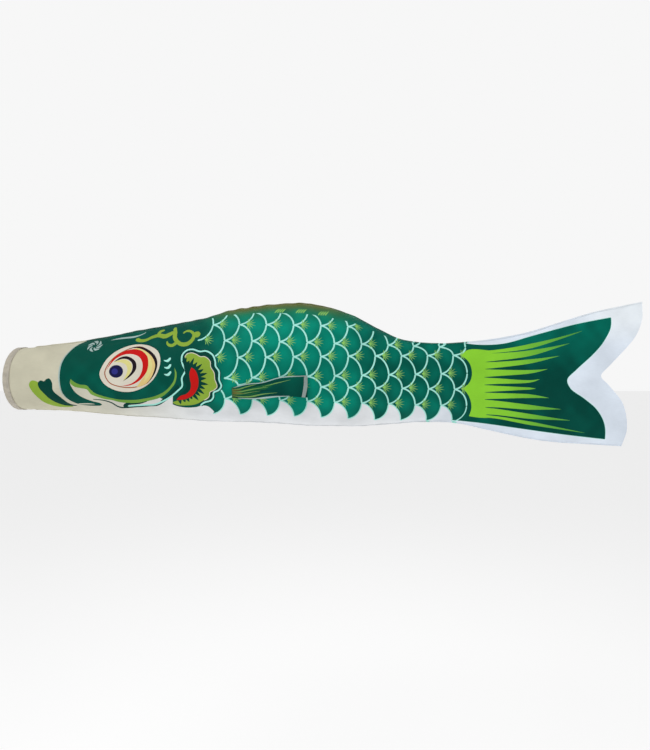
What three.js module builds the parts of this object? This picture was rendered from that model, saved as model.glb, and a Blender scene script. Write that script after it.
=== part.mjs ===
// A carp streamer (koinobori), one metre long, blown full of air.
// Millimetres. The origin is the middle of the mouth's front rim, +X runs from the mouth to the tail
// and +Z is up. The left flank is at -Y and the right flank at +Y.
//
// Two printed cloth flanks are sewn together along the back and along the belly. The front edges are
// held in a folded binding tape with a wire hoop inside, and three tape loops in the mouth take the
// bridle. Each flank carries a pectoral fin that is sewn on at its front edge only. The flanks are
// cut into five stretches, so that the body can bend from side to side as it swims in the wind.

import * as THREE from 'three';

// ---- driving dimensions -------------------------------------------------------------------------

const CLOTH = 0.8; // thickness of a cloth wall
const GAP = 0.3; // clearance kept between separate pieces

const MOUTH_RADIUS = 50; // outside of the binding tape
const BINDING_WIDTH = 10.5; // length of the folded tape along X
const TAPE = 0.6; // thickness of the binding tape
const HOOP_RADIUS = 45.8; // centre line of the wire hoop
const WIRE_RADIUS = 1;
const FERRULE_BORE = 1.3;
const FERRULE_RADIUS = 1.7;
const FERRULE_LENGTH = 12;
const HOOP_SET_BACK = 3.2; // from the front rim to the wire's centre

const LOOP_WIDTH = 6; // width of the bridle tape, along X
const LOOP_SET_BACK = 1.5;
const LOOP_ANGLES = { top: 90, left: 210, right: 330 }; // degrees about X, from +Y towards +Z

const RIDGE_HEIGHT = 1.6; // how far the sewn ridge stands up on the back and the belly
const RIDGE_HALF_WIDTH = 1.2;
const RIDGE_START = 26;

// The cloth's own profile, without the sewn ridges: x, back, belly, half-depth.
const PROFILE = [
  [0, 49.1, -49.1, 49.1],
  [14, 49.1, -49.1, 49.1],
  [50, 52, -49.5, 50.5],
  [100, 57.5, -52.5, 52],
  [150, 66.5, -57, 52.5],
  [200, 76, -61, 52],
  [250, 84, -64, 51],
  [300, 94, -67.5, 50],
  [350, 109, -69, 49],
  [400, 114.5, -70.5, 47],
  [450, 118.5, -74, 44.5],
  [500, 110.5, -76, 42],
  [550, 91, -76, 38],
  [600, 64.5, -71.5, 32],
  [650, 55, -69, 25],
  [700, 56, -70.5, 17],
  [750, 61, -81, 10],
  [800, 69.5, -92, 8],
  [850, 83.5, -100, 7],
  [920, 105, -104.5, 5],
  [1000, 122, -109, 3],
];
const LENS_FROM = 520; // round sections up to here
const LENS_TO = 760; // flat two-sided lens sections from here

// The open rear edge of the tail: share of the tail's height from belly to back, and x.
const TAIL_EDGE = [
  [0, 964],
  [0.13, 973],
  [0.3, 967],
  [0.44, 943],
  [0.515, 930],
  [0.59, 945],
  [0.74, 983],
  [0.87, 997],
  [1, 1000],
];

// Sideways bends between the stretches: where each vertical axis is, and how far it turns each way.
const BENDS = [
  { x: 300, degrees: 12 },
  { x: 500, degrees: 15 },
  { x: 645, degrees: 20 },
  { x: 770, degrees: 25 },
];
const BEND_SLACK = 0.4; // degrees added to each wedge that the bends are cut with
const STRETCHES = ['head', 'chest', 'trunk', 'stalk', 'tail'];
const PANEL_FRONT = 1; // where the cloth starts, inside the binding tape
const RING_SPACING = 42;
const SIDES = { left: -1, right: 1 };
const AROUND = 12; // facets from the back to the belly on one flank

// The pectoral fins: x from the sewn front edge to the free rear edge, and the top and bottom lines
// as the share of that length and z.
const FIN_ROOT = 347.5;
const FIN_TIP = 463;
const FIN_TOP = [[0, -14], [0.2, -8], [0.4, -5.5], [0.65, 2.5], [1, 5]];
const FIN_BOTTOM = [[0, -29.5], [0.35, -31], [0.7, -27], [1, -28.5]];
const FIN_ROOT_Y = 46; // inner face of the fin at its root, from the middle plane
const FIN_FLARE = 5; // how much further out the rear edge stands
const FIN_BILLOW = 1.5;

const COLOURS = {
  green: { color: 0x0a6a50, roughness: 0.55, metalness: 0 },
  white: { color: 0xdfe2e0, roughness: 0.6, metalness: 0 },
  binding: { color: 0xa29a92, roughness: 0.75, metalness: 0 },
  steel: { color: 0xb4b7ba, roughness: 0.35, metalness: 1 },
};

// ---- lines and sections -------------------------------------------------------------------------

// A smooth line y(x) through points in order of x.
function smoothLine(points) {
  const slope = points.map((p, i) => {
    const a = points[Math.max(i - 1, 0)];
    const b = points[Math.min(i + 1, points.length - 1)];
    return (b[1] - a[1]) / (b[0] - a[0]);
  });
  return (x) => {
    let i = points.findIndex((p) => p[0] >= x);
    i = i < 0 ? points.length - 1 : Math.max(i, 1);
    const [x0, y0] = points[i - 1];
    const [x1, y1] = points[i];
    const span = x1 - x0;
    const t = (x - x0) / span;
    const rise = t * t * (3 - 2 * t);
    return y0 + (y1 - y0) * rise
      + slope[i - 1] * span * t * (1 - t) * (1 - t)
      - slope[i] * span * t * t * (1 - t);
  };
}

const backLine = smoothLine(PROFILE.map(([x, back]) => [x, back]));
const bellyLine = smoothLine(PROFILE.map(([x, , belly]) => [x, belly]));
const depthLine = smoothLine(PROFILE.map(([x, , , depth]) => [x, depth]));
const tailEdge = smoothLine(TAIL_EDGE);

// A point [y, z] of the left flank's outer face, for turn 0 at the back to PI at the belly.
function section(x, turn) {
  const lens = 1 + THREE.MathUtils.smoothstep(x, LENS_FROM, LENS_TO);
  const edge = CLOTH + GAP / 2;
  const middle = (backLine(x) + bellyLine(x)) / 2;
  const half = (backLine(x) - bellyLine(x)) / 2;
  const y = edge + (depthLine(x) - edge) * Math.sin(turn) ** lens;
  return new THREE.Vector2(-y, middle + half * Math.cos(turn));
}

// The same point moved in by the cloth's thickness.
function innerSection(x, turn) {
  const step = Math.PI / AROUND / 2;
  const before = section(x, Math.max(turn - step, 0));
  const along = section(x, Math.min(turn + step, Math.PI)).sub(before).normalize();
  return section(x, turn).add(new THREE.Vector2(-along.y, along.x).multiplyScalar(CLOTH));
}

// ---- solids -------------------------------------------------------------------------------------

// A closed solid between two grids of points, outer[i][j] and inner[i][j].
function sheetSolid(outer, inner, flip) {
  const rows = outer.length;
  const columns = outer[0].length;
  const positions = [...outer.flat(), ...inner.flat()].flatMap((p) => [p.x, p.y, p.z]);
  const triangles = [];
  const quad = (a, b, c, d) => triangles.push(...(flip ? [a, c, b, a, d, c] : [a, b, c, a, c, d]));
  const out = (i, j) => i * columns + j;
  const inn = (i, j) => rows * columns + i * columns + j;
  for (let i = 0; i + 1 < rows; i += 1) {
    for (let j = 0; j + 1 < columns; j += 1) {
      quad(out(i, j), out(i + 1, j), out(i + 1, j + 1), out(i, j + 1));
      quad(inn(i, j), inn(i, j + 1), inn(i + 1, j + 1), inn(i + 1, j));
    }
    const last = columns - 1;
    quad(out(i, 0), inn(i, 0), inn(i + 1, 0), out(i + 1, 0));
    quad(out(i, last), out(i + 1, last), inn(i + 1, last), inn(i, last));
  }
  for (let j = 0; j + 1 < columns; j += 1) {
    const last = rows - 1;
    quad(out(0, j), out(0, j + 1), inn(0, j + 1), inn(0, j));
    quad(out(last, j), inn(last, j), inn(last, j + 1), out(last, j + 1));
  }
  const geometry = new THREE.BufferGeometry();
  geometry.setAttribute('position', new THREE.Float32BufferAttribute(positions, 3));
  geometry.setIndex(triangles);
  geometry.computeVertexNormals();
  return geometry;
}

const object = new THREE.Group();

function addMesh(name, geometry, look) {
  const mesh = new THREE.Mesh(geometry, new THREE.MeshStandardMaterial(COLOURS[look]));
  mesh.name = name;
  object.add(mesh);
  return mesh;
}

// The x of a stretch's front or rear end at distance y from the middle plane. A bend cuts a wedge,
// and the tail's rear edge is its own line.
function stretchEnd(index, rear, y, share) {
  const bend = BENDS[rear ? index : index - 1];
  if (!bend) {
    return rear ? tailEdge(share) : PANEL_FRONT;
  }
  const wedge = Math.tan(THREE.MathUtils.degToRad(bend.degrees / 2 + BEND_SLACK));
  const room = Math.abs(y) * wedge + GAP;
  return rear ? bend.x - room : bend.x + room;
}

// The x of a row of a stretch, as a share from its front end to its rear end.
function rowX(index, share, turn) {
  const height = (1 + Math.cos(turn)) / 2;
  const reach = (rear) => {
    let x = BENDS[rear ? index : index - 1]?.x ?? 0;
    for (let pass = 0; pass < 4; pass += 1) {
      x = stretchEnd(index, rear, section(x, turn).x, height);
    }
    return x;
  };
  return THREE.MathUtils.lerp(reach(false), reach(true), share);
}

function rowShares(index) {
  const front = BENDS[index - 1]?.x ?? 0;
  const rear = BENDS[index]?.x ?? 1000;
  const count = Math.max(4, Math.ceil((rear - front) / RING_SPACING));
  const shares = Array.from({ length: count + 1 }, (_, i) => i / count);
  // The head's cloth keeps the mouth's round section as far as the binding tape reaches.
  return index === 0 ? [0, 0.045, ...shares.slice(1)] : shares;
}

// ---- the cloth flanks and the sewn ridges -------------------------------------------------------

function flankPanel(index, side) {
  const outer = [];
  const inner = [];
  for (const share of rowShares(index)) {
    const outerRow = [];
    const innerRow = [];
    for (let j = 0; j <= AROUND; j += 1) {
      const turn = (Math.PI * j) / AROUND;
      const x = rowX(index, share, turn);
      const o = section(x, turn);
      const i = innerSection(x, turn);
      outerRow.push(new THREE.Vector3(x, -side * o.x, o.y));
      innerRow.push(new THREE.Vector3(x, -side * i.x, i.y));
    }
    outer.push(outerRow);
    inner.push(innerRow);
  }
  return sheetSolid(outer, inner, side < 0);
}

function ridge(index, turn) {
  const up = turn === 0 ? 1 : -1;
  const line = turn === 0 ? backLine : bellyLine;
  const outer = [];
  const inner = [];
  for (const share of rowShares(index)) {
    const along = Math.max(rowX(index, share, turn), share === 0 && index === 0 ? RIDGE_START : 0);
    if (index === 0 && share > 0 && along <= RIDGE_START) {
      continue;
    }
    const base = line(along) + up * GAP;
    const row = (z) => [-1, 1].map((s) => new THREE.Vector3(along, s * RIDGE_HALF_WIDTH, z));
    outer.push(row(base + up * RIDGE_HEIGHT));
    inner.push(row(base));
  }
  return sheetSolid(outer, inner, up < 0);
}

STRETCHES.forEach((stretch, index) => {
  for (const [sideName, side] of Object.entries(SIDES)) {
    addMesh(`${sideName}_panel_${stretch}`, flankPanel(index, side), 'green');
  }
  addMesh(`dorsal_seam_${stretch}`, ridge(index, 0), 'green');
  addMesh(`belly_seam_${stretch}`, ridge(index, Math.PI), 'white');
});

// ---- the mouth: binding tape, wire hoop, ferrule and bridle loops -------------------------------

// A closed profile of [radius, x] turned about the X axis.
function turned(profile, segments) {
  const closed = [...profile, profile[0]].map(([radius, x]) => new THREE.Vector2(radius, x));
  return new THREE.LatheGeometry(closed, segments).rotateZ(-Math.PI / 2);
}

// The tape is folded over the cloth's front edge and the hoop, and is open at its rear.
const insideRadius = HOOP_RADIUS - FERRULE_RADIUS - GAP - TAPE;
addMesh('mouth_binding', turned([
  [insideRadius, 0],
  [MOUTH_RADIUS, 0],
  [MOUTH_RADIUS, BINDING_WIDTH],
  [MOUTH_RADIUS - TAPE, BINDING_WIDTH],
  [MOUTH_RADIUS - TAPE, TAPE],
  [insideRadius + TAPE, TAPE],
  [insideRadius + TAPE, BINDING_WIDTH],
  [insideRadius, BINDING_WIDTH],
], 56), 'binding');

// An arc of the hoop's centre line, about its lowest point.
class HoopArc extends THREE.Curve {
  constructor(from, to) {
    super();
    this.from = from;
    this.to = to;
  }

  getPoint(share, target = new THREE.Vector3()) {
    const angle = THREE.MathUtils.lerp(this.from, this.to, share) - Math.PI / 2;
    return target.set(HOOP_SET_BACK, HOOP_RADIUS * Math.cos(angle), HOOP_RADIUS * Math.sin(angle));
  }
}

function ring(radius, sides) {
  const points = Array.from({ length: sides }, (_, i) => {
    const angle = (2 * Math.PI * i) / sides;
    return new THREE.Vector2(radius * Math.cos(angle), radius * Math.sin(angle));
  });
  return new THREE.Shape(points);
}

const hoopGap = 0.5 / HOOP_RADIUS; // half the space between the wire's two ends
addMesh('mouth_hoop', new THREE.ExtrudeGeometry(ring(WIRE_RADIUS, 8), {
  steps: 56,
  bevelEnabled: false,
  extrudePath: new HoopArc(hoopGap, 2 * Math.PI - hoopGap),
}), 'steel');

const ferruleSection = ring(FERRULE_RADIUS, 12);
ferruleSection.holes.push(ring(FERRULE_BORE, 12));
const ferruleReach = FERRULE_LENGTH / 2 / HOOP_RADIUS;
addMesh('hoop_ferrule', new THREE.ExtrudeGeometry(ferruleSection, {
  steps: 5,
  bevelEnabled: false,
  extrudePath: new HoopArc(-ferruleReach, ferruleReach),
}), 'steel');

// A tape loop seen along X: a flat base against the binding and a flat bight towards the middle.
function loopShape() {
  const outline = (halfWidth, low, high, corner) => {
    const path = new THREE.Shape();
    path.moveTo(-halfWidth, low);
    path.lineTo(halfWidth, low);
    path.lineTo(halfWidth, high - corner);
    path.absarc(halfWidth - corner, high - corner, corner, 0, Math.PI / 2);
    path.lineTo(corner - halfWidth, high);
    path.absarc(corner - halfWidth, high - corner, corner, Math.PI / 2, Math.PI);
    return path;
  };
  const shape = outline(4.8, 0, 9.4, 3.2);
  shape.holes.push(outline(4, CLOTH, 9.4 - CLOTH, 2.4));
  return shape;
}

const loopBase = insideRadius - 2 * GAP;
for (const [name, degrees] of Object.entries(LOOP_ANGLES)) {
  const loop = new THREE.ExtrudeGeometry(loopShape(), {
    depth: LOOP_WIDTH,
    bevelEnabled: false,
    curveSegments: 4,
  });
  // The outline's +Y points at the mouth's middle and the extrusion runs along +X.
  loop.rotateX(Math.PI / 2).rotateZ(Math.PI / 2).translate(LOOP_SET_BACK, 0, 0);
  const mesh = addMesh(`bridle_loop_${name}`, loop, 'binding');
  const angle = THREE.MathUtils.degToRad(degrees);
  mesh.position.set(0, loopBase * Math.cos(angle), loopBase * Math.sin(angle));
  mesh.rotation.x = angle + Math.PI / 2;
}

// ---- the pectoral fins --------------------------------------------------------------------------

const finTop = smoothLine(FIN_TOP);
const finBottom = smoothLine(FIN_BOTTOM);

function finSheet(side, offset) {
  const rows = 8;
  const columns = 3;
  return Array.from({ length: rows + 1 }, (_, i) => {
    const share = i / rows;
    const y = FIN_ROOT_Y + FIN_FLARE * share + FIN_BILLOW * Math.sin(Math.PI * share) + offset;
    return Array.from({ length: columns + 1 }, (__, j) => new THREE.Vector3(
      THREE.MathUtils.lerp(FIN_ROOT, FIN_TIP, share),
      side * y,
      THREE.MathUtils.lerp(finTop(share), finBottom(share), j / columns),
    ));
  });
}

for (const [name, side] of Object.entries(SIDES)) {
  const fin = sheetSolid(finSheet(side, CLOTH), finSheet(side, 0), side < 0);
  addMesh(`${name}_pectoral_fin`, fin, 'green');
}

export default object;
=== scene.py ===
"""A carp streamer (koinobori), blown full of air, built as cloth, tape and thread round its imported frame.

Metres, in the part's own frame: the origin is the middle of the mouth's front rim, +X runs to the
tail and +Z is up. The printed flanks are drawn in millimetres, as a side view of the fish: x from
the mouth and z up. Each flank is then laid out flat, as the cloth is cut: x stays, and w is the
distance round the girth, equal to z on the flank's widest line.
"""

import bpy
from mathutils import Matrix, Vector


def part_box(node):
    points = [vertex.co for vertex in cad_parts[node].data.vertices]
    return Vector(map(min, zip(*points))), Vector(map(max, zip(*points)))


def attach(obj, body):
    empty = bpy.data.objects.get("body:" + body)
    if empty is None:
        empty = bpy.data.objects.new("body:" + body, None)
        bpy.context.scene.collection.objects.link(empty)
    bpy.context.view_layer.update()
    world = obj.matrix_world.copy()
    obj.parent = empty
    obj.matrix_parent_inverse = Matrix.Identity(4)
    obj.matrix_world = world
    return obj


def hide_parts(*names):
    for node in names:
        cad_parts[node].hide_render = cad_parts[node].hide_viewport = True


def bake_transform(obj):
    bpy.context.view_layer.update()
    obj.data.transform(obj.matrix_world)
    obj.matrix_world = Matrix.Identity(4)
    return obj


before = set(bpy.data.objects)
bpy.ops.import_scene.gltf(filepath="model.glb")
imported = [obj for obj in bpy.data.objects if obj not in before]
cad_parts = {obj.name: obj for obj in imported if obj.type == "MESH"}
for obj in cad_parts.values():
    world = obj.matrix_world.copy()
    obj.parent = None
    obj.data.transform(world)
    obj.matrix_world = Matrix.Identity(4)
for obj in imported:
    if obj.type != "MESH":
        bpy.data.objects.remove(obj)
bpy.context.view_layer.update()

import math
import random

import bpy
import numpy as np
from mathutils import Vector
from mathutils.geometry import delaunay_2d_cdt

MM = 0.001
LEFT = -1
RIGHT = 1
SIDES = {"left": LEFT, "right": RIGHT}

# ---- driving sizes, in millimetres ------------------------------------------------------------

LENGTH = 1000
CLOTH = 0.35  # thickness of the polyester cloth
SEAM_EDGE = 0.45  # half the space between the two flanks where they are sewn together
CAD_SEAM_EDGE = 0.95  # the same in the CAD, where the cloth is thicker
CLOTH_FRONT = 1  # where the cloth starts, inside the binding tape
CUT_BAND = 0.8  # narrow faces each side of a cut across the flank
PRINT_SHOWS = 0.55  # how much of the print shows on the inside of a flank
FIN_PRINT_SHOWS = 0.7
LENS_FROM = 520  # round sections up to here
LENS_TO = 760  # flat two-sided lens sections from here

# The tail's open rear edge: share of the tail's height from belly to back, and x.
TAIL_EDGE = [
    (0, 964), (.13, 973), (.3, 967), (.44, 943), (.515, 930), (.59, 945), (.74, 983), (.87, 997),
    (1, 1000),
]

# A flank's cloth is one piece, parted where the body doesn't bend.
# Name, front, rear, the two bodies, where the bend starts and ends, and the CAD stretches it stands for.
STRETCHES = [
    ("head", 0, 400, "head", "chest", 270, 330, ["head", "chest"]),
    ("trunk", 400, 572, "chest", "trunk", 470, 530, ["trunk"]),
    ("stalk", 572, 708, "trunk", "stalk", 620, 670, ["stalk"]),
    ("tail", 708, 1010, "stalk", "tail", 745, 795, ["tail"]),
]

# ---- colours, as they show on a screen ----------------------------------------------------------

INKS = {
    "cloth": (232, 235, 238),
    "coat": (0, 108, 88),
    "dark": (2, 64, 54),
    "mint": (168, 236, 223),
    "fan": (142, 200, 102),
    "lime": (142, 174, 62),
    "leaf": (116, 162, 68),
    "field": (143, 214, 56),
    "cream": (220, 214, 198),
    "brown": (160, 84, 44),
    "black": (34, 24, 32),
    "yellow": (224, 216, 142),
    "orange": (226, 200, 132),
    "red": (200, 26, 24),
    "pupil": (26, 26, 72),
    "pupil_core": (48, 50, 130),
    "streak": (112, 156, 84),
    "leaf_dark": (24, 92, 54),
    "root": (104, 92, 44),
    # pale print ink, also laid as a painted highlight on the crown
    "hem": (166, 190, 186),
    "tape": (198, 190, 174),
    "thread": (206, 204, 198),
}


def linear(colour):
    """A screen colour from 0 to 255 as linear light."""
    share = np.asarray(colour, float) / 255
    return np.where(share <= 0.04045, share / 12.92, ((share + 0.055) / 1.055) ** 2.4)


# ---- smooth lines -------------------------------------------------------------------------------


def smoothstep(x, low, high):
    t = np.clip((np.asarray(x, float) - low) / (high - low), 0, 1)
    return t * t * (3 - 2 * t)


def smooth_line(points):
    """A smooth value(x) through points in order of x."""
    xs, ys = np.array(points, float).T
    slopes = np.gradient(ys, xs)
    slopes[1:-1] = (ys[2:] - ys[:-2]) / (xs[2:] - xs[:-2])

    def value(x):
        x = np.asarray(x, float)
        i = np.clip(np.searchsorted(xs, x) - 1, 0, len(xs) - 2)
        span = xs[i + 1] - xs[i]
        t = np.clip((x - xs[i]) / span, 0, 1)
        rise = ys[i] + (ys[i + 1] - ys[i]) * t * t * (3 - 2 * t)
        return rise + span * t * (1 - t) * (slopes[i] * (1 - t) - slopes[i + 1] * t)

    return value


def curve(points, step=2.2, closed=False):
    """Points about every step millimetres on a smooth curve through the given ones."""
    p = np.array(points, float)
    if closed:
        p = np.vstack([p, p[:1]])
    if len(p) == 2 and not closed:
        return p
    gaps = np.maximum(np.linalg.norm(np.diff(p, axis=0), axis=1), 1e-6)
    times = np.sqrt(gaps)
    speeds = np.diff(p, axis=0) / times[:, None]
    before, after = speeds[:-1], speeds[1:]
    ta, tb = times[:-1, None], times[1:, None]
    tangents = np.empty_like(p)
    tangents[1:-1] = (before * tb + after * ta) / (ta + tb)
    if closed:
        ends = (speeds[-1] * times[0] + speeds[0] * times[-1]) / (times[0] + times[-1])
        tangents[0] = tangents[-1] = ends
    else:
        tangents[0] = 1.5 * speeds[0] - 0.5 * tangents[1]
        tangents[-1] = 1.5 * speeds[-1] - 0.5 * tangents[-2]
    made = []
    for i, gap in enumerate(gaps):
        t = np.linspace(0, 1, max(2, math.ceil(gap / step) + 1))[:-1, None]
        h = times[i]
        made.append(
            p[i] * (1 + 2 * t) * (1 - t) ** 2
            + p[i + 1] * t * t * (3 - 2 * t)
            + tangents[i] * h * t * (1 - t) ** 2
            - tangents[i + 1] * h * t * t * (1 - t)
        )
    if not closed:
        made.append(p[-1:])
    return np.vstack(made)


def outline(*runs):
    """A closed outline of smooth runs, with a corner where one run ends and the next starts."""
    return np.vstack([curve(run)[:-1] for run in runs])


def stroke(points, *widths, step=1.6, closed=False):
    """The outline of a brush stroke along a smooth curve, with round ends and a changing width."""
    line = curve(points, step, closed)
    if closed:
        line = np.vstack([line, line[:1]])
    along = np.concatenate([[0], np.cumsum(np.linalg.norm(np.diff(line, axis=0), axis=1))])
    half = np.interp(along / along[-1], np.linspace(0, 1, len(widths)), widths) / 2
    to_end = np.minimum(along, along[-1] - along)
    rounding = np.clip(to_end / np.maximum(half, 1e-6), 0, 1)
    if not closed:
        half = half * np.sqrt(np.maximum(1 - (1 - rounding) ** 2, 0.01))
    tangent = np.gradient(line, axis=0)
    tangent /= np.linalg.norm(tangent, axis=1)[:, None]
    across = np.column_stack([-tangent[:, 1], tangent[:, 0]]) * half[:, None]
    return np.vstack([line + across, (line - across)[::-1]])


def oval(x, z, rx, rz):
    """An upright ellipse's outline."""
    turn = np.linspace(0, 2 * math.pi, 28, endpoint=False)
    return np.column_stack([x + rx * np.cos(turn), z + rz * np.sin(turn)])


# ---- the body's shape, from the frame -----------------------------------------------------------


def panel_points():
    """The left flank's CAD corners, in millimetres."""
    nodes = [node for name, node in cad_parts.items() if name.startswith("left_panel_")]
    return np.array([v.co for node in nodes for v in node.data.vertices], float) / MM


def stations(points, pick):
    """(x, value) where the CAD has a row of corners, with the outermost value of each row."""
    rows = {}
    for x, value in points:
        rows.setdefault(round(x, 1), []).append(value)
    return sorted((x, pick(values)) for x, values in rows.items())


def body_lines():
    """The cloth's back line, belly line and half-depth, each as value(x)."""
    corners = panel_points()
    sewn = corners[np.abs(np.abs(corners[:, 1]) - CAD_SEAM_EDGE) < 0.01]
    back = smooth_line(stations(sewn[sewn[:, 2] > 0][:, [0, 2]], max))
    belly = smooth_line(stations(sewn[sewn[:, 2] < 0][:, [0, 2]], min))
    middle = (back(corners[:, 0]) + belly(corners[:, 0])) / 2
    widest = corners[np.abs(corners[:, 2] - middle) < 0.5]
    depth = smooth_line(stations(np.abs(widest[:, :2]), max))
    return back, belly, depth


back_line, belly_line, depth_line = body_lines()
tail_edge = smooth_line(TAIL_EDGE)


def section(x, turn):
    """Distance from the middle plane, and z, for turn 0 at the back to pi at the belly."""
    lens = 1 + smoothstep(x, LENS_FROM, LENS_TO)
    middle = (back_line(x) + belly_line(x)) / 2
    half = (back_line(x) - belly_line(x)) / 2
    out = SEAM_EDGE + (depth_line(x) - SEAM_EDGE) * np.sin(turn) ** lens
    return out, middle + half * np.cos(turn)


# ---- laying the cloth flat, and back ------------------------------------------------------------

ROW_X = np.linspace(0, LENGTH, 251)
TURNS = np.linspace(0, math.pi, 145)
SHARES = np.linspace(0, 1, 193)


def girth_tables():
    """For each row: w at each turn, and the turn at each share of the girth."""
    out, z = section(ROW_X[:, None], TURNS[None, :])
    steps = np.hypot(np.diff(out, axis=1), np.diff(z, axis=1))
    arc = np.hstack([np.zeros((len(ROW_X), 1)), np.cumsum(steps, axis=1)])
    widest = len(TURNS) // 2
    w = z[:, widest:widest + 1] - (arc - arc[:, widest:widest + 1])
    turns = np.array([np.interp(SHARES * row[-1], row, TURNS) for row in arc])
    return w, turns


FLAT_W, TURN_AT = girth_tables()


def look_up(table, row, column):
    """A table's value between its rows and columns."""
    row = np.clip(row, 0, table.shape[0] - 1.0001)
    column = np.clip(column, 0, table.shape[1] - 1.0001)
    i, j = row.astype(int), column.astype(int)
    a, b = row - i, column - j
    low = table[i, j] * (1 - b) + table[i, j + 1] * b
    high = table[i + 1, j] * (1 - b) + table[i + 1, j + 1] * b
    return low * (1 - a) + high * a


def row_of(x):
    return np.asarray(x, float) / LENGTH * (len(ROW_X) - 1)


def edge_w(x):
    """w at the back seam and at the belly seam."""
    return np.interp(x, ROW_X, FLAT_W[:, 0]), np.interp(x, ROW_X, FLAT_W[:, -1])


def lay_flat(points):
    """Side-view points as flat cloth points."""
    x, z = np.asarray(points, float).T
    middle = (back_line(x) + belly_line(x)) / 2
    half = (back_line(x) - belly_line(x)) / 2
    turn = np.arccos(np.clip((z - middle) / half, -1, 1))
    beyond = z - middle - np.clip(z - middle, -half, half)
    w = look_up(FLAT_W, row_of(x), turn / math.pi * (len(TURNS) - 1))
    return np.column_stack([x, w + beyond])


def raise_cloth(x, w):
    """Flat cloth points on the smooth body, for a flank at +Y."""
    top, low = edge_w(x)
    share = np.clip((top - w) / (top - low), 0, 1)
    turn = look_up(TURN_AT, row_of(x), share * (len(SHARES) - 1))
    out, z = section(x, turn)
    return np.column_stack([x, out, z])


# ---- creases and billows ------------------------------------------------------------------------


def ripples(x, w, length, seed):
    """A soft random field from -1 to 1 with humps about as long as length."""
    dice = random.Random(seed)
    total = 0
    for _ in range(6):
        turn = dice.uniform(0, 2 * math.pi)
        wave = length * dice.uniform(0.7, 1.5)
        shift = dice.uniform(0, 2 * math.pi)
        total = total + np.sin((x * math.cos(turn) + w * math.sin(turn)) * 2 * math.pi / wave + shift)
    return total / 3


def distance_to(points, x, w):
    """Distance from each (x, w) to a line of points, and how far along it from 0 to 1."""
    line = lay_flat(curve(points, 4))
    best = np.full(len(x), 1e9)
    share = np.zeros(len(x))
    for i in range(len(line) - 1):
        a, d = line[i], line[i + 1] - line[i]
        t = np.clip(((x - a[0]) * d[0] + (w - a[1]) * d[1]) / (d @ d), 0, 1)
        gap = np.hypot(x - a[0] - t * d[0], w - a[1] - t * d[1])
        nearer = gap < best
        best = np.where(nearer, gap, best)
        share = np.where(nearer, (i + t) / (len(line) - 1), share)
    return best, share


# Soft folds on a flank: side-view points, height and half-width.
FOLDS = [
    ([(12, 30), (40, 12), (66, -2)], 1.6, 5),
    ([(12, 6), (44, 22), (84, 30)], -1.5, 6),
    ([(12, -20), (50, -34), (96, -48)], 1.3, 5),
    ([(14, 42), (48, 40), (92, 52)], 1.2, 4),
    ([(128, 58), (166, 68), (205, 74), (238, 80)], 1.8, 4),
    ([(140, 54), (180, 61), (220, 66)], -1.2, 5),
    ([(300, 60), (340, 74), (392, 96)], 0.9, 6),
    ([(465, 14), (520, 8), (590, 6)], -0.9, 5),
    ([(466, -6), (530, -10), (612, -6)], 0.8, 5),
    ([(346, 4), (326, 16), (300, 20)], 0.7, 5),
    ([(350, -34), (372, -48), (402, -56)], 0.8, 5),
    ([(600, 50), (640, 34), (690, 26)], 0.9, 6),
    ([(610, -60), (650, -46), (700, -40)], 0.8, 6),
    ([(744, 34), (772, 28), (790, 14)], 0.8, 3),
    ([(766, 48), (800, 36), (822, 14)], 0.9, 4),
    ([(728, -40), (746, -52), (790, -58)], 0.8, 3),
    ([(842, -34), (850, -52), (848, -70)], 0.8, 4),
    ([(880, 60), (920, 70), (968, 92)], 0.9, 7),
    ([(890, -50), (920, -70), (944, -92)], 0.9, 7),
]


def crease_height(x, w):
    """How far the cloth stands out from the smooth body, in millimetres."""
    top, low = edge_w(x)
    from_back, from_belly = top - w, w - low
    mouth = 1 - np.exp(-np.maximum(x - 11, 0) / 16)
    body = 0.6 * ripples(x, w, 110, 1) + 0.2 * ripples(x, w, 46, 2)
    hump = smoothstep(x, 285, 350) * (1 - smoothstep(x, 520, 590))
    wave = x + 5 * ripples(x, 0 * w, 70, 3)
    pucker = np.sin(2 * math.pi * wave / 23) * (0.65 + 0.35 * ripples(x, 0 * w, 80, 6))
    back = np.exp(-from_back / (9 + 12 * hump)) * (0.2 + 0.45 * hump)
    belly = np.exp(-from_belly / 9) * 0.15
    height = body * mouth + back * pucker + belly * np.sin(2 * math.pi * wave / 19 + 2)
    gather = np.exp(-np.maximum(x - 10.5, 0) / 14) * smoothstep(x, 10, 13)
    height = height + 0.35 * gather * np.sin(w / 2.6 + 0.8 * ripples(0 * x, w, 40, 5))
    for points, tall, wide in FOLDS:
        gap, share = distance_to(points, x, w)
        fade = np.sin(math.pi * np.clip(share, 0.02, 0.98)) ** 0.7
        height = height + tall * fade * np.exp(-((gap / wide) ** 2))
    thin = 1 - 0.45 * smoothstep(x, 640, 780)
    return height * thin * smoothstep(x, 9, 14)


SIM_REAR = 800  # the simulated part of the body, and its grid
SIM_ROWS, SIM_COLUMNS = 161, 37
SIM_FRAMES = 22
SIM_CAP = 1.8  # the tallest simulated crease that is kept


def sim_points():
    """The smooth body as rings of points: down the right flank, then up the left one."""
    xs = np.linspace(CLOTH_FRONT, SIM_REAR, SIM_ROWS)
    rings = []
    for x in xs:
        top, low = edge_w(x)
        right = raise_cloth(np.full(SIM_COLUMNS, x), np.linspace(top, low, SIM_COLUMNS))
        rings.append(np.vstack([right, right[-2:0:-1] * (1, -1, 1)]))
    return np.array(rings)


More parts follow.
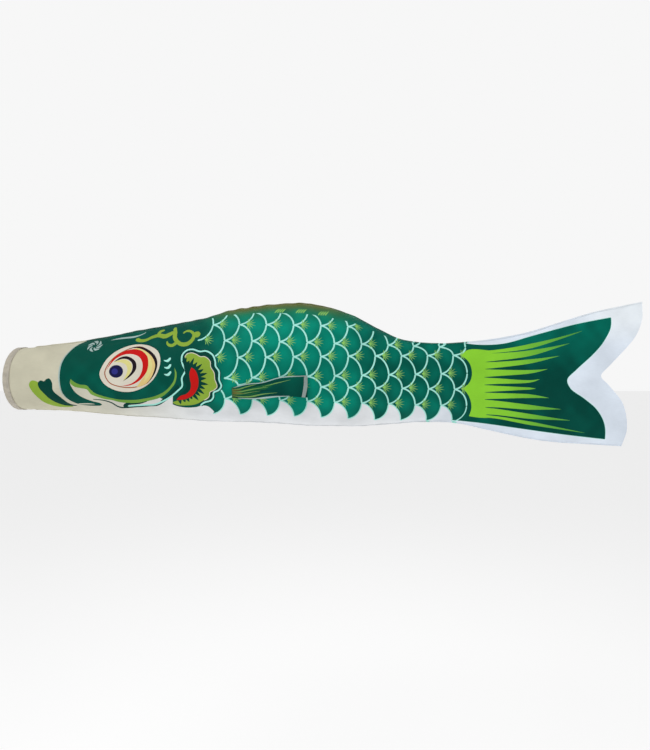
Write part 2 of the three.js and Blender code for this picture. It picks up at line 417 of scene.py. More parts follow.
def billow(rings):
    """The rings after the wind has filled the cloth, held at the mouth, the tail and along both seams."""
    rows, around = rings.shape[:2]
    faces = [
        (
            i * around + j,
            (i + 1) * around + j,
            (i + 1) * around + (j + 1) % around,
            i * around + (j + 1) % around,
        )
        for i in range(rows - 1)
        for j in range(around)
    ]
    mesh = bpy.data.meshes.new("billow")
    mesh.from_pydata((rings.reshape(-1, 3) * MM).tolist(), [], faces)
    thing = bpy.data.objects.new("billow", mesh)
    bpy.context.scene.collection.objects.link(thing)
    held = thing.vertex_groups.new(name="held")
    for i in range(rows):
        firm = i < 3 or i > rows - 4
        for j in range(around):
            if firm or j in (0, SIM_COLUMNS - 1):
                held.add([i * around + j], 1.0, "REPLACE")
    cloth = thing.modifiers.new("wind", "CLOTH")
    cloth.settings.quality = 5
    cloth.settings.mass = 0.02
    cloth.settings.tension_stiffness = 12
    cloth.settings.compression_stiffness = 8
    cloth.settings.shear_stiffness = 3
    cloth.settings.bending_stiffness = 0.1
    cloth.settings.air_damping = 3
    cloth.settings.effector_weights.gravity = 0.3
    cloth.settings.vertex_group_mass = "held"
    cloth.settings.shrink_min = -0.007
    cloth.settings.use_pressure = True
    cloth.settings.uniform_pressure_force = 2
    cloth.collision_settings.use_collision = False
    scene = bpy.context.scene
    for number in range(1, SIM_FRAMES + 1):
        scene.frame_set(number)
    shaped = thing.evaluated_get(bpy.context.evaluated_depsgraph_get()).to_mesh()
    found = np.array([tuple(v.co) for v in shaped.vertices]) / MM
    scene.frame_set(1)
    bpy.data.objects.remove(thing)
    bpy.data.meshes.remove(mesh)
    return found.reshape(rows, around, 3)


def soften(field, width):
    """A grid of heights averaged over width cells each way."""
    for axis in (0, 1):
        padded = np.pad(field, [(width, width) if axis == k else (0, 0) for k in (0, 1)], mode="edge")
        field = sum(np.roll(padded, shift, axis) for shift in range(-width, width + 1)) / (2 * width + 1)
        field = field[width:-width] if axis == 0 else field[:, width:-width]
    return field


def simulated_creases():
    """For each side, how far the simulated cloth's creases stand out, on a grid from seam to seam."""
    rings = sim_points()
    moved = billow(rings) - rings
    along = np.gradient(rings, axis=0)
    around = np.roll(rings, -1, axis=1) - np.roll(rings, 1, axis=1)
    normal = np.cross(around, along)
    normal /= np.linalg.norm(normal, axis=2)[:, :, None]
    normal *= np.sign((normal * (rings - rings.mean(axis=1)[:, None])).sum(axis=2))[:, :, None]
    height = (moved * normal).sum(axis=2)
    left = np.hstack([height[:, :1], height[:, :SIM_COLUMNS - 2:-1]])
    creases = {}
    for side, heights in ((RIGHT, height[:, :SIM_COLUMNS]), (LEFT, left)):
        detail = 0.85 * soften(heights - soften(heights, 5), 1)
        creases[side] = SIM_CAP * np.tanh(detail / SIM_CAP)
    return creases


def simulated_height(x, w, side):
    """The simulated creases at flat points, less of them under the fins and none in the tail."""
    top, low = edge_w(x)
    share = np.clip((top - w) / (top - low), 0, 1)
    row = (x - CLOTH_FRONT) / (SIM_REAR - CLOTH_FRONT) * (SIM_ROWS - 1)
    height = look_up(CREASES[side], row, share * (SIM_COLUMNS - 1))
    under_fin = smoothstep(x, 325, 345) * (1 - smoothstep(x, 465, 485))
    under_fin = under_fin * smoothstep(w, -50, -38) * (1 - smoothstep(w, 8, 20))
    return height * (1 - 0.8 * under_fin) * smoothstep(x, 12, 22) * (1 - smoothstep(x, 700, 770))


CREASES = simulated_creases()


def sway(x, w):
    """How far both layers of the tail lean to +Y together as it flutters, in millimetres."""
    free = smoothstep(x, 690, 960)
    return free * (2.6 * np.sin((x - 690) / 41 + w / 90) + 1.6 * np.sin((x + 1.4 * w) / 23))


def cloth_points(x, w, side):
    """Outer and inner face of a flank's cloth at flat points, in metres."""
    reach = 0.6
    middle = raise_cloth(x, w)
    along = raise_cloth(x + reach, w) - raise_cloth(x - reach, w)
    top, low = edge_w(x)
    up = raise_cloth(x, np.minimum(w + reach, top)) - raise_cloth(x, np.maximum(w - reach, low))
    normal = np.cross(along, up)
    normal /= np.maximum(np.linalg.norm(normal, axis=1), 1e-9)[:, None]
    normal *= np.where(normal[:, 1] < 0, -1, 1)[:, None]
    outer = middle + normal * (crease_height(x, w) + simulated_height(x, w, side))[:, None]
    outer[:, 1] = np.maximum(outer[:, 1], SEAM_EDGE)
    inner = outer - normal * CLOTH
    for face in (outer, inner):
        face[:, 1] = side * face[:, 1] + sway(x, w)
    return outer * MM, inner * MM


# ---- the print: scales --------------------------------------------------------------------------

PITCH = 42  # from one scale to the next along the body
EVEN_START, ODD_START = 357, 336
# Rows of scales from the back down: z at x 350 and at x 690.
SCALE_ROWS = [
    (139, 132), (105, 100), (84, 79), (58, 50), (32, 37), (1, 8), (-9.5, -17), (-31, -43), (-56, -69.5),
]
TIP_ROW = len(SCALE_ROWS) - 1
FIRST_SCALE = [1, 0, -1, 0, 0, 1, 0, 0, 0]
LAST_SCALE = [8, 9, 8, 9, 8, 9, 8, 9, 8]
FANS_START_EARLY = (3, 4, 5)  # rows with one more fan towards the head
ARC_END = math.radians(84)  # where a scale's arc meets its neighbours, from its rightmost point


def scale_point(row, k):
    """The rightmost point of a scale, where its neighbours' arcs start."""
    x = (ODD_START if row % 2 else EVEN_START) + PITCH * k
    front, rear = SCALE_ROWS[row]
    return np.array([x, front + (rear - front) * (x - 350) / 340])


def scale_arc(row, k, up):
    """The upper or lower half of a scale's edge, from its rightmost point to its neighbour's."""
    point = scale_point(row, k)
    other = scale_point(row - 1 if up else row + 1, k - row % 2)
    turn = np.linspace(0, ARC_END, 9)
    wide = (point[0] - other[0]) / (1 - math.cos(ARC_END))
    tall = (other[1] - point[1]) / math.sin(ARC_END)
    return np.column_stack([point[0] - wide * (1 - np.cos(turn)), point[1] + tall * np.sin(turn)])


def fan(x, z):
    """A tuft of eight petals that opens to the right."""
    points = [(x - 3, z)]
    for i, reach in enumerate((9, 11, 11.5, 13, 12.5, 12, 11.5, 9)):
        turn = math.radians(-92 + 26 * i)
        petal = ((turn - 0.2, 2), (turn - 0.1, 6), (turn, reach), (turn + 0.1, 6), (turn + 0.2, 2))
        points += [(x + r * math.cos(t), z + 0.95 * r * math.sin(t)) for t, r in petal]
    return np.array(points)


def belly_scallops():
    """The coat's lower edge under the scales, from the gill to the tail."""
    runs = []
    for k in range(LAST_SCALE[TIP_ROW] + 1):
        runs.append(scale_arc(TIP_ROW - 1, k, False)[::-1])
        runs.append(scale_arc(TIP_ROW, k, True)[::-1])
    return np.vstack(runs)


def scale_print():
    inks = []
    for row in range(1, TIP_ROW + 1):
        halves = {1: [False], TIP_ROW: [True]}.get(row, [True, False])
        for k in range(FIRST_SCALE[row], LAST_SCALE[row] + 1):
            for up in halves:
                borders_white = row == TIP_ROW or (row == TIP_ROW - 1 and not up)
                inks.append(("mint", stroke(scale_arc(row, k, up), 1.8 if borders_white else 2.4)))
    for row in range(2, TIP_ROW):
        first = FIRST_SCALE[row] - (row in FANS_START_EARLY)
        for k in range(first, LAST_SCALE[row] + 1 - row % 2):
            x, z = scale_point(row, k)
            if z < back_line(x + 13) - 8:
                inks.append(("fan", fan(x + 13.5, z + 1)))
    return inks + back_print()


# Where the print ends short of the back seam, in the side view.
PRINT_ENDS = [(290, 90), (331, 99), (360, 102.5), (410, 103), (456, 101.5), (500, 96), (540, 86), (600, 61)]
PRINT_TOP = smooth_line(PRINT_ENDS)


def back_print():
    """The plain strip along the back, with the last petals of the cut-off scales."""
    xs = np.linspace(292, 596, 50)
    above = np.column_stack([xs, back_line(xs) + 6])
    below = np.column_stack([xs, np.minimum(PRINT_TOP(xs), back_line(xs) - 0.5)])[::-1]
    inks = [("coat", np.vstack([above, below]))]
    for x in (411, 444, 479):
        low = float(PRINT_TOP(x))
        for step in (0, 3.6, 7.2, 10.8):
            petal = [(x + step, low + 0.5), (x + step + 2.4, low + 4.2), (x + step + 6, low + 8)]
            inks.append(("fan", stroke(petal, 1.4, 2.1, 0.5)))
    return inks


# ---- the print: coat and tail -------------------------------------------------------------------

# From here to the head's marks, most outlines were converted to millimetres by a separate script from
# places picked on a photo of the real print, then edited. They aren't drawn from a formula.

TAIL_REAR = [
    (949, 98), (948, 80), (936, 59), (915, 37), (889, 13), (875, -2), (880, -16), (902, -32), (922, -49),
    (934, -70), (937, -97),
]
BEAK_FRONT = [
    (115, 78), (105, 57), (96, 40), (90, 23), (88.5, 4), (88.5, -11), (91, -22), (98, -32), (110, -38.5),
    (127, -41), (143, -41),
]
BEAK_INNER = [
    (143, -41), (147, -39), (144, -36.5), (136, -34.5), (123, -29.5), (112, -22), (106, -13), (104, -6),
    (105, 0),
]
LIP_LOW = [
    (105, 0), (104.4, -6.5), (110, -11.8), (118.8, -14.1), (129, -16.3), (134, -23.2), (142.5, -27.1),
    (155.4, -31), (164.4, -31.8), (172.9, -34.9), (190.7, -37.3), (206.4, -36), (222.3, -32.6),
    (238, -28.7),
]
GILL_FOOT = [(256, -39), (264, -42), (277, -44), (292, -43), (300, -41), (309, -42), (319, -53)]


def coat_print():
    rear = [(937, -97), (867, -89), (802, -80), (737, -71), (693, -67)]
    top = [(710, 57), (737, 54), (776, 56), (824, 69), (888, 86), (949, 98)]
    edge = [
        outline(
            BEAK_FRONT,
            BEAK_INNER,
            LIP_LOW,
            [(238, -28.7), (246, -31.5), (258, -25)],
            [(258, -25), (256, -39)],
            GILL_FOOT,
        ),
        belly_scallops(),
        outline(rear[::-1], TAIL_REAR[::-1], top[::-1]),
        [(708, 90), (640, 110), (560, 150), (440, 170), (300, 150), (115, 110)],
    ]
    shadow = [(x - 1, z) for x, z in BEAK_FRONT[1:8]]
    tongue = [(110, -37.9), (119, -37.2), (129, -37.3), (136, -38.5), (128, -38.9), (113, -38.8)]
    return [
        ("hem", stroke(shadow, 1, 2.4, 1)),
        ("mint", stroke(top, 0.4, 1.4)),
        ("mint", stroke(TAIL_REAR, 1.4)),
        ("mint", stroke(rear, 1.4, 0.6)),
        ("coat", np.vstack(edge)),
        ("cloth", curve(tongue, closed=True)),
    ]


# The tail's rays: z at the root, z half way, the tip's x and z, and the width at the root and half way.
RAYS = [
    (41.5, 51.6, 901, 76, 4, 7.4),
    (33, 40.6, 879, 56, 12, 9),
    (20.5, 27.4, 863, 36, 9.5, 6.8),
    (8.5, 10.9, 844, 15, 11, 5.6),
    (-4, -4.4, 831, -1, 10, 3.8),
    (-16, -16, 825, -16, 10, 3.2),
    (-27.5, -28.2, 846, -31, 9.5, 6.2),
    (-39.5, -46, 866, -49, 10.5, 8),
    (-51.5, -60.6, 881, -67, 9.5, 8),
    (-59.8, -71.5, 905, -87, 3, 5.8),
]


def bowed(a, b, bow):
    """A curve from a to b that stands bow millimetres to its left half way."""
    a, b = np.array(a, float), np.array(b, float)
    across = np.array([a[1] - b[1], b[0] - a[0]]) / np.linalg.norm(b - a)
    t = np.linspace(0, 1, 12)[:, None]
    return a + (b - a) * t + across * bow * 4 * t * (1 - t)


def ray_print():
    """The tail's bright field, scalloped against the last scales and drawn out into ten rays."""
    field = outline(
        [(750, 45), (716, 45), (707, 36)],
        [(707, 36), (718, 25), (722, 10), (719, -4), (708, -16)],
        [(708, -16), (718, -30), (722, -45), (719, -60)],
        [(719, -60), (735, -62.5), (748, -63)],
        [(748, -63), (744, -40), (742, -5), (746, 30), (750, 45)],
    )
    inks = [("field", field)]
    for root, half, tip_x, tip_z, wide, middle in RAYS:
        line = [(736, root), (762, root + 0.18 * (half - root)), (817, half), (tip_x, tip_z)]
        share = (817 - 736) / (tip_x - 736)
        widths = np.interp(np.linspace(0, 1, 11), [0, 0.12, share, 1], [wide + 3, wide + 0.4, middle, 0.3])
        inks.append(("field", stroke(line, *widths)))
    return inks


# ---- the print: head ----------------------------------------------------------------------------


def barbel_print():
    light = [
        (99, -43), (84, -43.5), (66, -41), (54, -34), (44, -19), (41, -9), (45, -3), (53, -4), (62, -12),
        (74, -30), (90, -38),
    ]
    dark = [
        (107, -41), (86, -41), (70, -33), (62, -23), (56, -14), (55, -6), (59, -2.5), (64, -4), (67, -1),
        (72, 0.5), (76, -6), (77, -18), (86, -28), (96, -38),
    ]
    return [("lime", curve(light, closed=True)), ("dark", curve(dark, closed=True))]


def mouth_print():
    lip = outline(
        [
            (105.5, -0.4), (112, -5.7), (119.4, -8.7), (129.8, -10.3), (133.8, -15.6), (140.5, -21.7),
            (150.5, -25.6), (162, -28.7), (176.6, -31.6), (199.6, -32), (212, -30.4), (230.7, -26.2),
            (246.6, -18.7), (256.3, -9.5), (261, -1.9), (262.5, 8), (261.5, 17),
        ],
        [
            (261.5, 17), (265, 9), (264.6, 0), (262, -7.5), (256, -15), (248, -22.5), (238, -28.7),
            (222.3, -33), (206.4, -36), (190.7, -37.3), (172.9, -34.9), (164.4, -32.2), (155.4, -31),
            (142.5, -27.1), (134, -23.2), (129, -16.3), (118.8, -14.1), (110, -11.8), (104.4, -6.5),
            (105.5, -0.4),
        ],
    )
    return [
        ("dark", stroke([(238, -34), (248, -28), (258, -20.5), (268, -10)], 1, 5, 4)),
        ("leaf", lip),
        (
            "dark",
            stroke(
                [(135, -31), (146, -31.8), (154.8, -33.4), (163, -36.6), (170.5, -42.4), (178, -44.8)],
                0.9,
                1.6,
                2.1,
                2.6,
            ),
        ),
        (
            "dark",
            stroke(
                [
                    (176, -44.4), (184, -44.2), (220, -41.3), (231, -40.6), (238, -37.8), (250, -30.2),
                    (262, -22.5),
                ],
                2.2,
                1.9,
                1.6,
            ),
        ),
        (
            "dark",
            stroke([(181, -42), (186, -38.8), (194, -38.4), (206, -37.2), (218, -34)], 5.8, 2.6, 2.2, 0.7),
        ),
        ("dark", oval(183, -42, 4, 3)),
    ]


FLAMES = 17  # dark tongues round the gill cover's red crescent


def gill_print():
    """The gill cover: a mint line round it, a bright scalloped rim, dark flames and a red crescent."""
    line = [
        (186, -42), (213, -40), (229, -39), (244, -33), (256, -26), (266, -18), (273, -11), (273, 1),
        (278, 12), (274, 21), (272, 29), (273, 37), (279, 43.5), (288, 45), (299, 41.5), (309, 42),
        (319, 36), (323, 27), (324, 19), (329, 11), (329, -2), (332, -11), (328, -17), (320, -21),
        (319, -28), (315, -33), (305, -36), (298, -41),
    ]
    outer = [
        (277, 32), (280, 37.5), (287, 39), (294, 36.5), (300, 33), (308, 32.5), (315, 26), (316, 18),
        (321, 9), (322, -1), (325, -12), (320, -17), (314, -20), (312, -27), (304, -32.5), (292, -38.5),
        (277, -40.5), (262, -39.5), (256, -36),
    ]
    inner = [
        (256, -36), (264, -33), (278, -31), (290, -25), (298, -17), (302, -7), (301, 5), (297, 16),
        (290, 22), (282, 24), (277, 32),
    ]
    inks = [
        ("dark", stroke(line[7:], 5)),
        ("dark", curve(line[7:])),
        ("mint", stroke(line, 2.4)),
        ("cream", stroke(outer[:15], 2.2)),
        ("lime", outline(outer, inner)),
    ]
    hollow = [
        (276, 26), (283, 22), (291, 18), (298, 10), (301, 0), (300, -10), (294, -19), (286, -26),
        (276, -30.5), (266, -32.5), (261, -32), (264, -28), (272, -21), (279, -13), (281, 0), (277, 12),
    ]
    inks.append(("dark", curve(hollow, closed=True)))
    root = curve(hollow[:10], 2)
    for i in range(FLAMES):
        place = (i + 0.3) / (FLAMES - 0.4) * (len(root) - 1)
        at = root[int(place)]
        along = root[min(int(place) + 1, len(root) - 1)] - root[max(int(place) - 1, 0)]
        along /= np.linalg.norm(along)
        out = np.array([-along[1], along[0]])
        tip = at + out * (9 if i % 2 else 12) * (0.6 if i < 2 else 0.55 if i > FLAMES - 5 else 1)
        low, high = (at + along * side * 2.9 - out * 2 for side in (-1, 1))
        inks.append(("dark", np.vstack([bowed(low, tip, 0.7), bowed(tip, high, 0.7)])))
    red = outline(
        [
            (287.5, 17), (293, 13), (296.5, 6), (298, -4), (296, -14), (290, -23.5), (283.6, -28),
            (274, -31.3), (262.7, -32),
        ],
        [
            (262.7, -32), (268.6, -26.4), (279, -22.5), (284.5, -17.2), (286.4, -9.5), (285.2, -0.4),
            (284.5, 8), (287.5, 17),
        ],
    )
    inks.append(("red", red))
    return inks


def eye_print():
    socket = [
        (149, 6), (151, 15), (160, 31), (174, 44), (189, 51), (206, 53), (222, 50), (235, 42), (240, 30),
        (238, 14), (229, -2), (213, -14), (192, -20), (171, -17), (155, -7),
    ]
    loop = [
        (157, 8), (162, 22), (172, 34), (187, 44), (205, 49), (221, 43), (232, 33), (235, 22), (231, 7),
        (219, -7), (200, -13), (180, -12), (164, -6),
    ]
    arc = [(188, 46), (206, 49), (221, 44), (233, 33), (236, 22), (232, 7), (219, -9)]
    arc_inner = [(219, -9), (229, 6), (232.5, 21), (228, 32), (219, 40.5), (205, 46.5), (188, 46)]
    red_outer = [
        (159, 12), (168, 29), (180, 40), (196, 45), (209, 43), (219, 35), (222, 24), (220, 11), (210, -2),
        (196, -9.5), (181, -11),
    ]
    red_inner = [
        (181, -11), (197, -7), (208, 2), (213, 13), (213, 24), (208, 32.5), (198, 37), (185, 36.5),
        (172, 29.5), (159, 12),
    ]
    return [
        ("dark", curve([(x + (x - 194) * 0.02, z + (z - 17) * 0.03) for x, z in socket], closed=True)),
        ("cream", curve(socket, closed=True)),
        ("brown", stroke(loop, 1.5, closed=True)),
        (
            "orange",
            outline(
                [(196, 45), (206, 47), (220, 42), (230, 32), (234, 21), (230, 6), (218, -8), (204, -13)],
                [(204, -13), (212, -2), (220, 10), (221, 26), (212, 40), (196, 45)],
            ),
        ),
        (
            "yellow",
            outline(
                [(196, 45), (206, 46), (219, 39), (226, 29), (228, 18), (224, 5), (216, -5)],
                [(216, -5), (219, 10), (220, 26), (212, 40), (196, 45)],
            ),
        ),
        ("black", outline(arc, arc_inner)),
        ("red", outline(red_outer, red_inner)),
        (
            "black",
            outline(
                [(170, 25), (179, 32), (188, 34), (197, 31), (203, 25), (204, 15), (197, 5), (184, -4)],
                [(184, -4), (193, 5), (198, 13), (198, 22), (193, 28), (184, 30), (170, 25)],
            ),
        ),
        (
            "yellow",
            outline(
                [(170, 25), (184, 29), (192, 27), (197, 21), (197, 13), (193, 5), (184, -3)],
                [(184, -3), (189, 6), (191, 14), (189, 20), (183, 24), (170, 25)],
            ),
        ),
        ("pupil", oval(174, 11, 10.6, 9.6)),
        ("pupil_core", oval(172, 11, 4.8, 4.6)),
    ]


def mark_print():
    """The nostril's pinwheel, the three ticks behind the eye, a painted highlight on the crown's seam fold
    and the cloud scroll on the crown.
    """
    inks = []
    for i in range(7):
        start = 2 * math.pi * i / 7 + 0.3
        bends = ((3, start), (8, start + 0.25), (12.5, start + 0.95))
        blade = [(133 + r * math.cos(turn), 51 + 0.76 * r * math.sin(turn)) for r, turn in bends]
        inks.append(("hem", stroke(blade, 0.8, 3.6, 1)))
    for x, z, lean in ((245, 28, 1), (246, 17.5, 1.6), (246, 7, 1.4)):
        inks.append(("mint", stroke([(x, z), (x + 6, z - 1), (x + 10.5, z + 3 + lean)], 0.8, 4, 3)))
    # A painted highlight along the fold of the back seam on the crown, in the pale hem ink.
    inks.append(("hem", stroke([(154, 61.5), (176, 65.5), (194, 67.5), (208, 73.5)], 0.4, 2.6, 2.8, 0.6)))
    return inks + [
        (
            "lime",
            stroke(
                [(196, 64), (203, 60), (212, 60), (221, 65), (231, 68), (242, 66), (250, 70), (255, 73)],
                6.5,
                5.5,
                5,
                6.5,
                7.5,
                6,
            ),
        ),
        ("lime", stroke([(231, 68), (231, 74), (238, 77)], 6, 5, 2.5)),
        (
            "lime",
            stroke(
                [
                    (253, 81), (257, 72), (258, 64), (263, 57), (270, 53), (279, 54), (286, 61), (287, 69),
                    (281, 74), (274, 74), (270, 70),
                ],
                5,
                6.5,
                6,
                6.5,
                5.5,
                4,
                2,
            ),
        ),
        ("lime", stroke([(262, 60), (261, 55), (255, 51), (249, 53), (247, 58)], 5, 5, 4.5, 2)),
        ("lime", stroke([(286, 68), (291, 69), (297, 71)], 8, 10, 8)),
    ]


def flank_print():
    """Every ink shape on a flank, in the order they are printed."""
    inks = coat_print() + scale_print() + ray_print()
    inks += barbel_print() + mouth_print() + gill_print() + eye_print() + mark_print()
    return [(ink, lay_flat(shape)) for ink, shape in inks]


# ---- cutting a sheet into faces along its print --------------------------------------------------


def inside(shape, points):
    """Which points are inside a closed outline."""
    low, high = shape.min(0), shape.max(0)
    near = np.flatnonzero(np.all((points >= low) & (points <= high), axis=1))
    x, y = points[near].T
    turns = np.zeros(len(near), int)
    for (ax, ay), (bx, by) in zip(shape, np.roll(shape, -1, axis=0)):
        if ay != by:
            crosses = (ay > y) != (by > y)
            crosses &= x < ax + (y - ay) * (bx - ax) / (by - ay)
            turns += crosses * (1 if by > ay else -1)
    result = np.zeros(len(points), bool)
    result[near[turns != 0]] = True
    return result


def cut_sheet(border, shapes, lines, seeds):
    """Triangles that fill border, with edges along every shape and line: points and corners."""
    points, edges, faces = [], [], []
    for shape in [border, *[shape for _, shape in shapes]]:
        start = len(points)
        points += [Vector(p) for p in shape]
        edges += [(start + i, start + (i + 1) % len(shape)) for i in range(len(shape))]
    for line in lines:
        start = len(points)
        points += [Vector(p) for p in line]
        edges += [(start + i, start + i + 1) for i in range(len(line) - 1)]
    cell = 1.6
    taken = {(round(p.x / cell), round(p.y / cell)) for p in points}
    for p in seeds:
        if (round(p[0] / cell), round(p[1] / cell)) not in taken:
            points.append(Vector(p))
    made = delaunay_2d_cdt(points, edges, faces, 0, 0.02, False)
    flat = np.array([tuple(p) for p in made[0]])
    corners = np.array([f for f in made[2] if len(f) == 3])
    middles = flat[corners].mean(axis=1)
    corners = corners[inside(border, middles)]
    a, b, c = (flat[corners[:, i]] for i in range(3))
    area = (b[:, 0] - a[:, 0]) * (c[:, 1] - a[:, 1]) - (b[:, 1] - a[:, 1]) * (c[:, 0] - a[:, 0])
    corners[area < 0] = corners[area < 0][:, ::-1]
    return flat, corners[np.abs(area) > 1e-7]


def printed_ink(shapes, points, plain):
    """The name of the last ink laid over each point."""
    names = np.full(len(points), plain, dtype=object)
    for ink, shape in shapes:
        names[inside(shape, points)] = ink
    return names


def mix(colours, other, share):
    """Colours moved towards another by a share for each point."""
    share = np.asarray(share, float)[:, None]
    return colours * (1 - share) + np.array(other, float) * share


def scale_glow(x, w):
    """How near each point is to the bright middle of a scale, from 0 to 1, which sets the painted light on
    the coat.
    """
    glow = np.zeros(len(x))
    for row in range(1, TIP_ROW + 1):
        for k in range(FIRST_SCALE[row], LAST_SCALE[row] + 1):
            at = lay_flat([scale_point(row, k) - (13, 0)])[0]
            glow = np.maximum(glow, np.exp(-(((x - at[0]) / 12) ** 2) - ((w - at[1]) / 15) ** 2))
    return glow


def flank_colours(names, points):
    """Each point's colour as linear light: its ink, the print's own change along the tail's rays, and
    painted light: painted shade on the head's cloth, painted back-light on the tail's cloth and along the
    back seam, and painted sheen and lit scale middles on the coat.
    """
    x, w = points.T
    colours = np.array([INKS[name] for name in names], float)
    top, _ = edge_w(x)
    cloth, coat = names == "cloth", names == "coat"
    painted_sheen = 0.6 * ripples(x, w, 95, 31) + 0.4 * ripples(x, w, 30, 32)
    # Painted light on the plain cloth: painted shade makes it beige and darker towards the head, and
    # painted back-light makes it bluer and brighter towards the tail and at the tail's top rear.
    colours = mix(colours, (204, 200, 178), cloth * (1 - smoothstep(x, 60, 330)))
    colours = mix(colours, (230, 240, 252), cloth * smoothstep(x, 560, 760))
    colours = mix(colours, (242, 249, 255), cloth * smoothstep(x, 860, 960) * smoothstep(w, 40, 100))
    # Painted light on the coat: lighter at each scale's middle, towards the head and in patches of painted
    # sheen.
    body = smoothstep(x, 290, 350) * (1 - smoothstep(x, 690, 730))
    light = body * (0.12 + 0.42 * scale_glow(x, w) + 0.46 * (1 - smoothstep(x, 470, 590))) + 0.2 * painted_sheen
    colours = mix(colours, (0, 78, 65), coat)
    colours = mix(colours, (0, 144, 121), coat * np.clip(light, 0, 1))
    # Painted light on the tail's coat: darker below and lighter towards the top, as if lit from above, with
    # painted sheen patches.
    tail = smoothstep(x, 740, 800) * coat
    colours = mix(colours, (0, 70, 60), tail)
    bright = 0.75 * smoothstep(w, 0, 80) + 0.25 * painted_sheen
    colours = mix(colours, (0, 116, 98), tail * np.clip(bright, 0, 1))
    colours = mix(colours, (92, 168, 66), (names == "field") * smoothstep(x, 750, 890))
    # Painted back-light: an olive tint along the back seam over the hump, where light shows through the
    # cloth.
    painted_backlight = coat * smoothstep(x, 285, 350) * (1 - smoothstep(x, 480, 560))
    colours = mix(colours, (104, 108, 54), painted_backlight * np.exp(-(((top - w) / 24) ** 2)))
    return linear(colours)


# ---- building a piece ---------------------------------------------------------------------------


class Build:
    """The points and faces of one piece, each face with its own colour and material."""

    def __init__(self):
        self.points = []
        self.uvs = []
        self.faces = []
        self.colours = []
        self.looks = []
        self.smooth = []

    def add(self, points, faces, colours, uvs=None, look=0, smooth=True):
        """Adds a body in metres. colours is one linear colour, or one for each face or face corner."""
        start = len(self.points)
        colours = np.asarray(colours, float)
        counts = [len(face) for face in faces]
        if colours.ndim == 1:
            colours = np.tile(colours, (sum(counts), 1))
        elif len(colours) == len(faces):
            colours = np.repeat(colours, counts, axis=0)
        self.points += [tuple(p) for p in points]
        self.uvs += [tuple(uv) for uv in (np.zeros((len(points), 2)) if uvs is None else uvs)]
        self.faces += [tuple(int(i) + start for i in face) for face in faces]
        self.colours += colours.tolist()
        self.looks += [look] * len(faces)
        self.smooth += [smooth] * len(faces) if isinstance(smooth, bool) else list(smooth)

    def make(self, name, *materials, lap=0):
        """The piece as an object, with its print as colours and its flat cut as UVs. lap is the way
        round a closed band, whose last faces run on past it."""
        mesh = bpy.data.meshes.new(name)
        mesh.from_pydata(self.points, [], self.faces)
        mesh.polygons.foreach_set("use_smooth", self.smooth)
        mesh.polygons.foreach_set("material_index", self.looks)
        counts = [len(face) for face in self.faces]
        edges = np.empty(len(mesh.loops), np.int32)
        mesh.loops.foreach_get("edge_index", edges)
        sharp = np.zeros(len(mesh.edges), bool)
        sharp[edges[np.repeat(~np.array(self.smooth), counts)]] = True
        mesh.edges.foreach_set("use_edge_sharp", sharp)
        rgba = np.hstack([np.array(self.colours), np.ones((len(self.colours), 1))])
        paint = mesh.color_attributes.new("print", "FLOAT_COLOR", "CORNER")
        paint.data.foreach_set("color", rgba.astype(np.float32).ravel())
        corners = [i for face in self.faces for i in face]
        flat = np.array(self.uvs)[corners]
        if lap:
            starts = np.cumsum([0, *counts[:-1]])
            farthest = np.repeat(np.maximum.reduceat(flat[:, 0], starts), counts)
            flat[flat[:, 0] < farthest - lap / 2, 0] += lap
        layer = mesh.uv_layers.new(name="flat")
        layer.data.foreach_set("uv", flat.astype(np.float32).ravel())
        for material in materials:
            mesh.materials.append(material)
        mesh.update()
        thing = bpy.data.objects.new(name, mesh)
        bpy.context.scene.collection.objects.link(thing)
        return thing


def add_shell(build, outer, inner, corners, colours, uvs, backs, flip):
    """A cloth of two faces with a rim. backs is how much of the print shows on the inside."""
    used = np.unique(corners)
    place = np.zeros(len(outer), int)
    place[used] = np.arange(len(used))
    front = place[corners]
    if flip:
        front, colours = front[:, ::-1], colours[:, ::-1]
    count = len(used)
    edges = np.vstack([front[:, [0, 1]], front[:, [1, 2]], front[:, [2, 0]]])
    faces_of = np.tile(np.arange(len(front)), 3)
    key = edges.min(1) * (count + 1) + edges.max(1)
    _, first, times = np.unique(key, return_index=True, return_counts=True)
    rim = first[times == 1]
    a, b = edges[rim].T
    quads = np.column_stack([b, a, a + count, b + count])
    back_colour = backs * colours[:, ::-1] + (1 - backs) * linear((214, 214, 212))
    faces = [*front.tolist(), *(front[:, ::-1] + count).tolist(), *quads.tolist()]
    rim_colour = np.repeat(colours[faces_of[rim]].mean(axis=1), 4, axis=0)
    paint = np.vstack([colours.reshape(-1, 3), back_colour.reshape(-1, 3), rim_colour])
    smooth = [True] * (2 * len(front)) + [False] * len(quads)
    points = np.vstack([outer[used], inner[used]])
    build.add(points, faces, paint, np.vstack([uvs[used], uvs[used]]), 0, smooth)


def add_band(build, rings, colours, closed_path=False, look=0, uvs=None):
    """A body swept through rings of points, one list of points for each step of the path."""
    rings = np.asarray(rings, float)
    steps, sides = rings.shape[:2]
    faces = []
    for i in range(steps if closed_path else steps - 1):
        for j in range(sides):
            k, m = (i + 1) % steps, (j + 1) % sides
            faces.append((i * sides + j, i * sides + m, k * sides + m, k * sides + j))
    smooth = [True] * len(faces)
    if not closed_path:
        faces += [tuple(range(sides))[::-1], tuple((steps - 1) * sides + j for j in range(sides))]
        smooth += [False, False]
    build.add(rings.reshape(-1, 3), faces, colours, uvs, look, smooth)


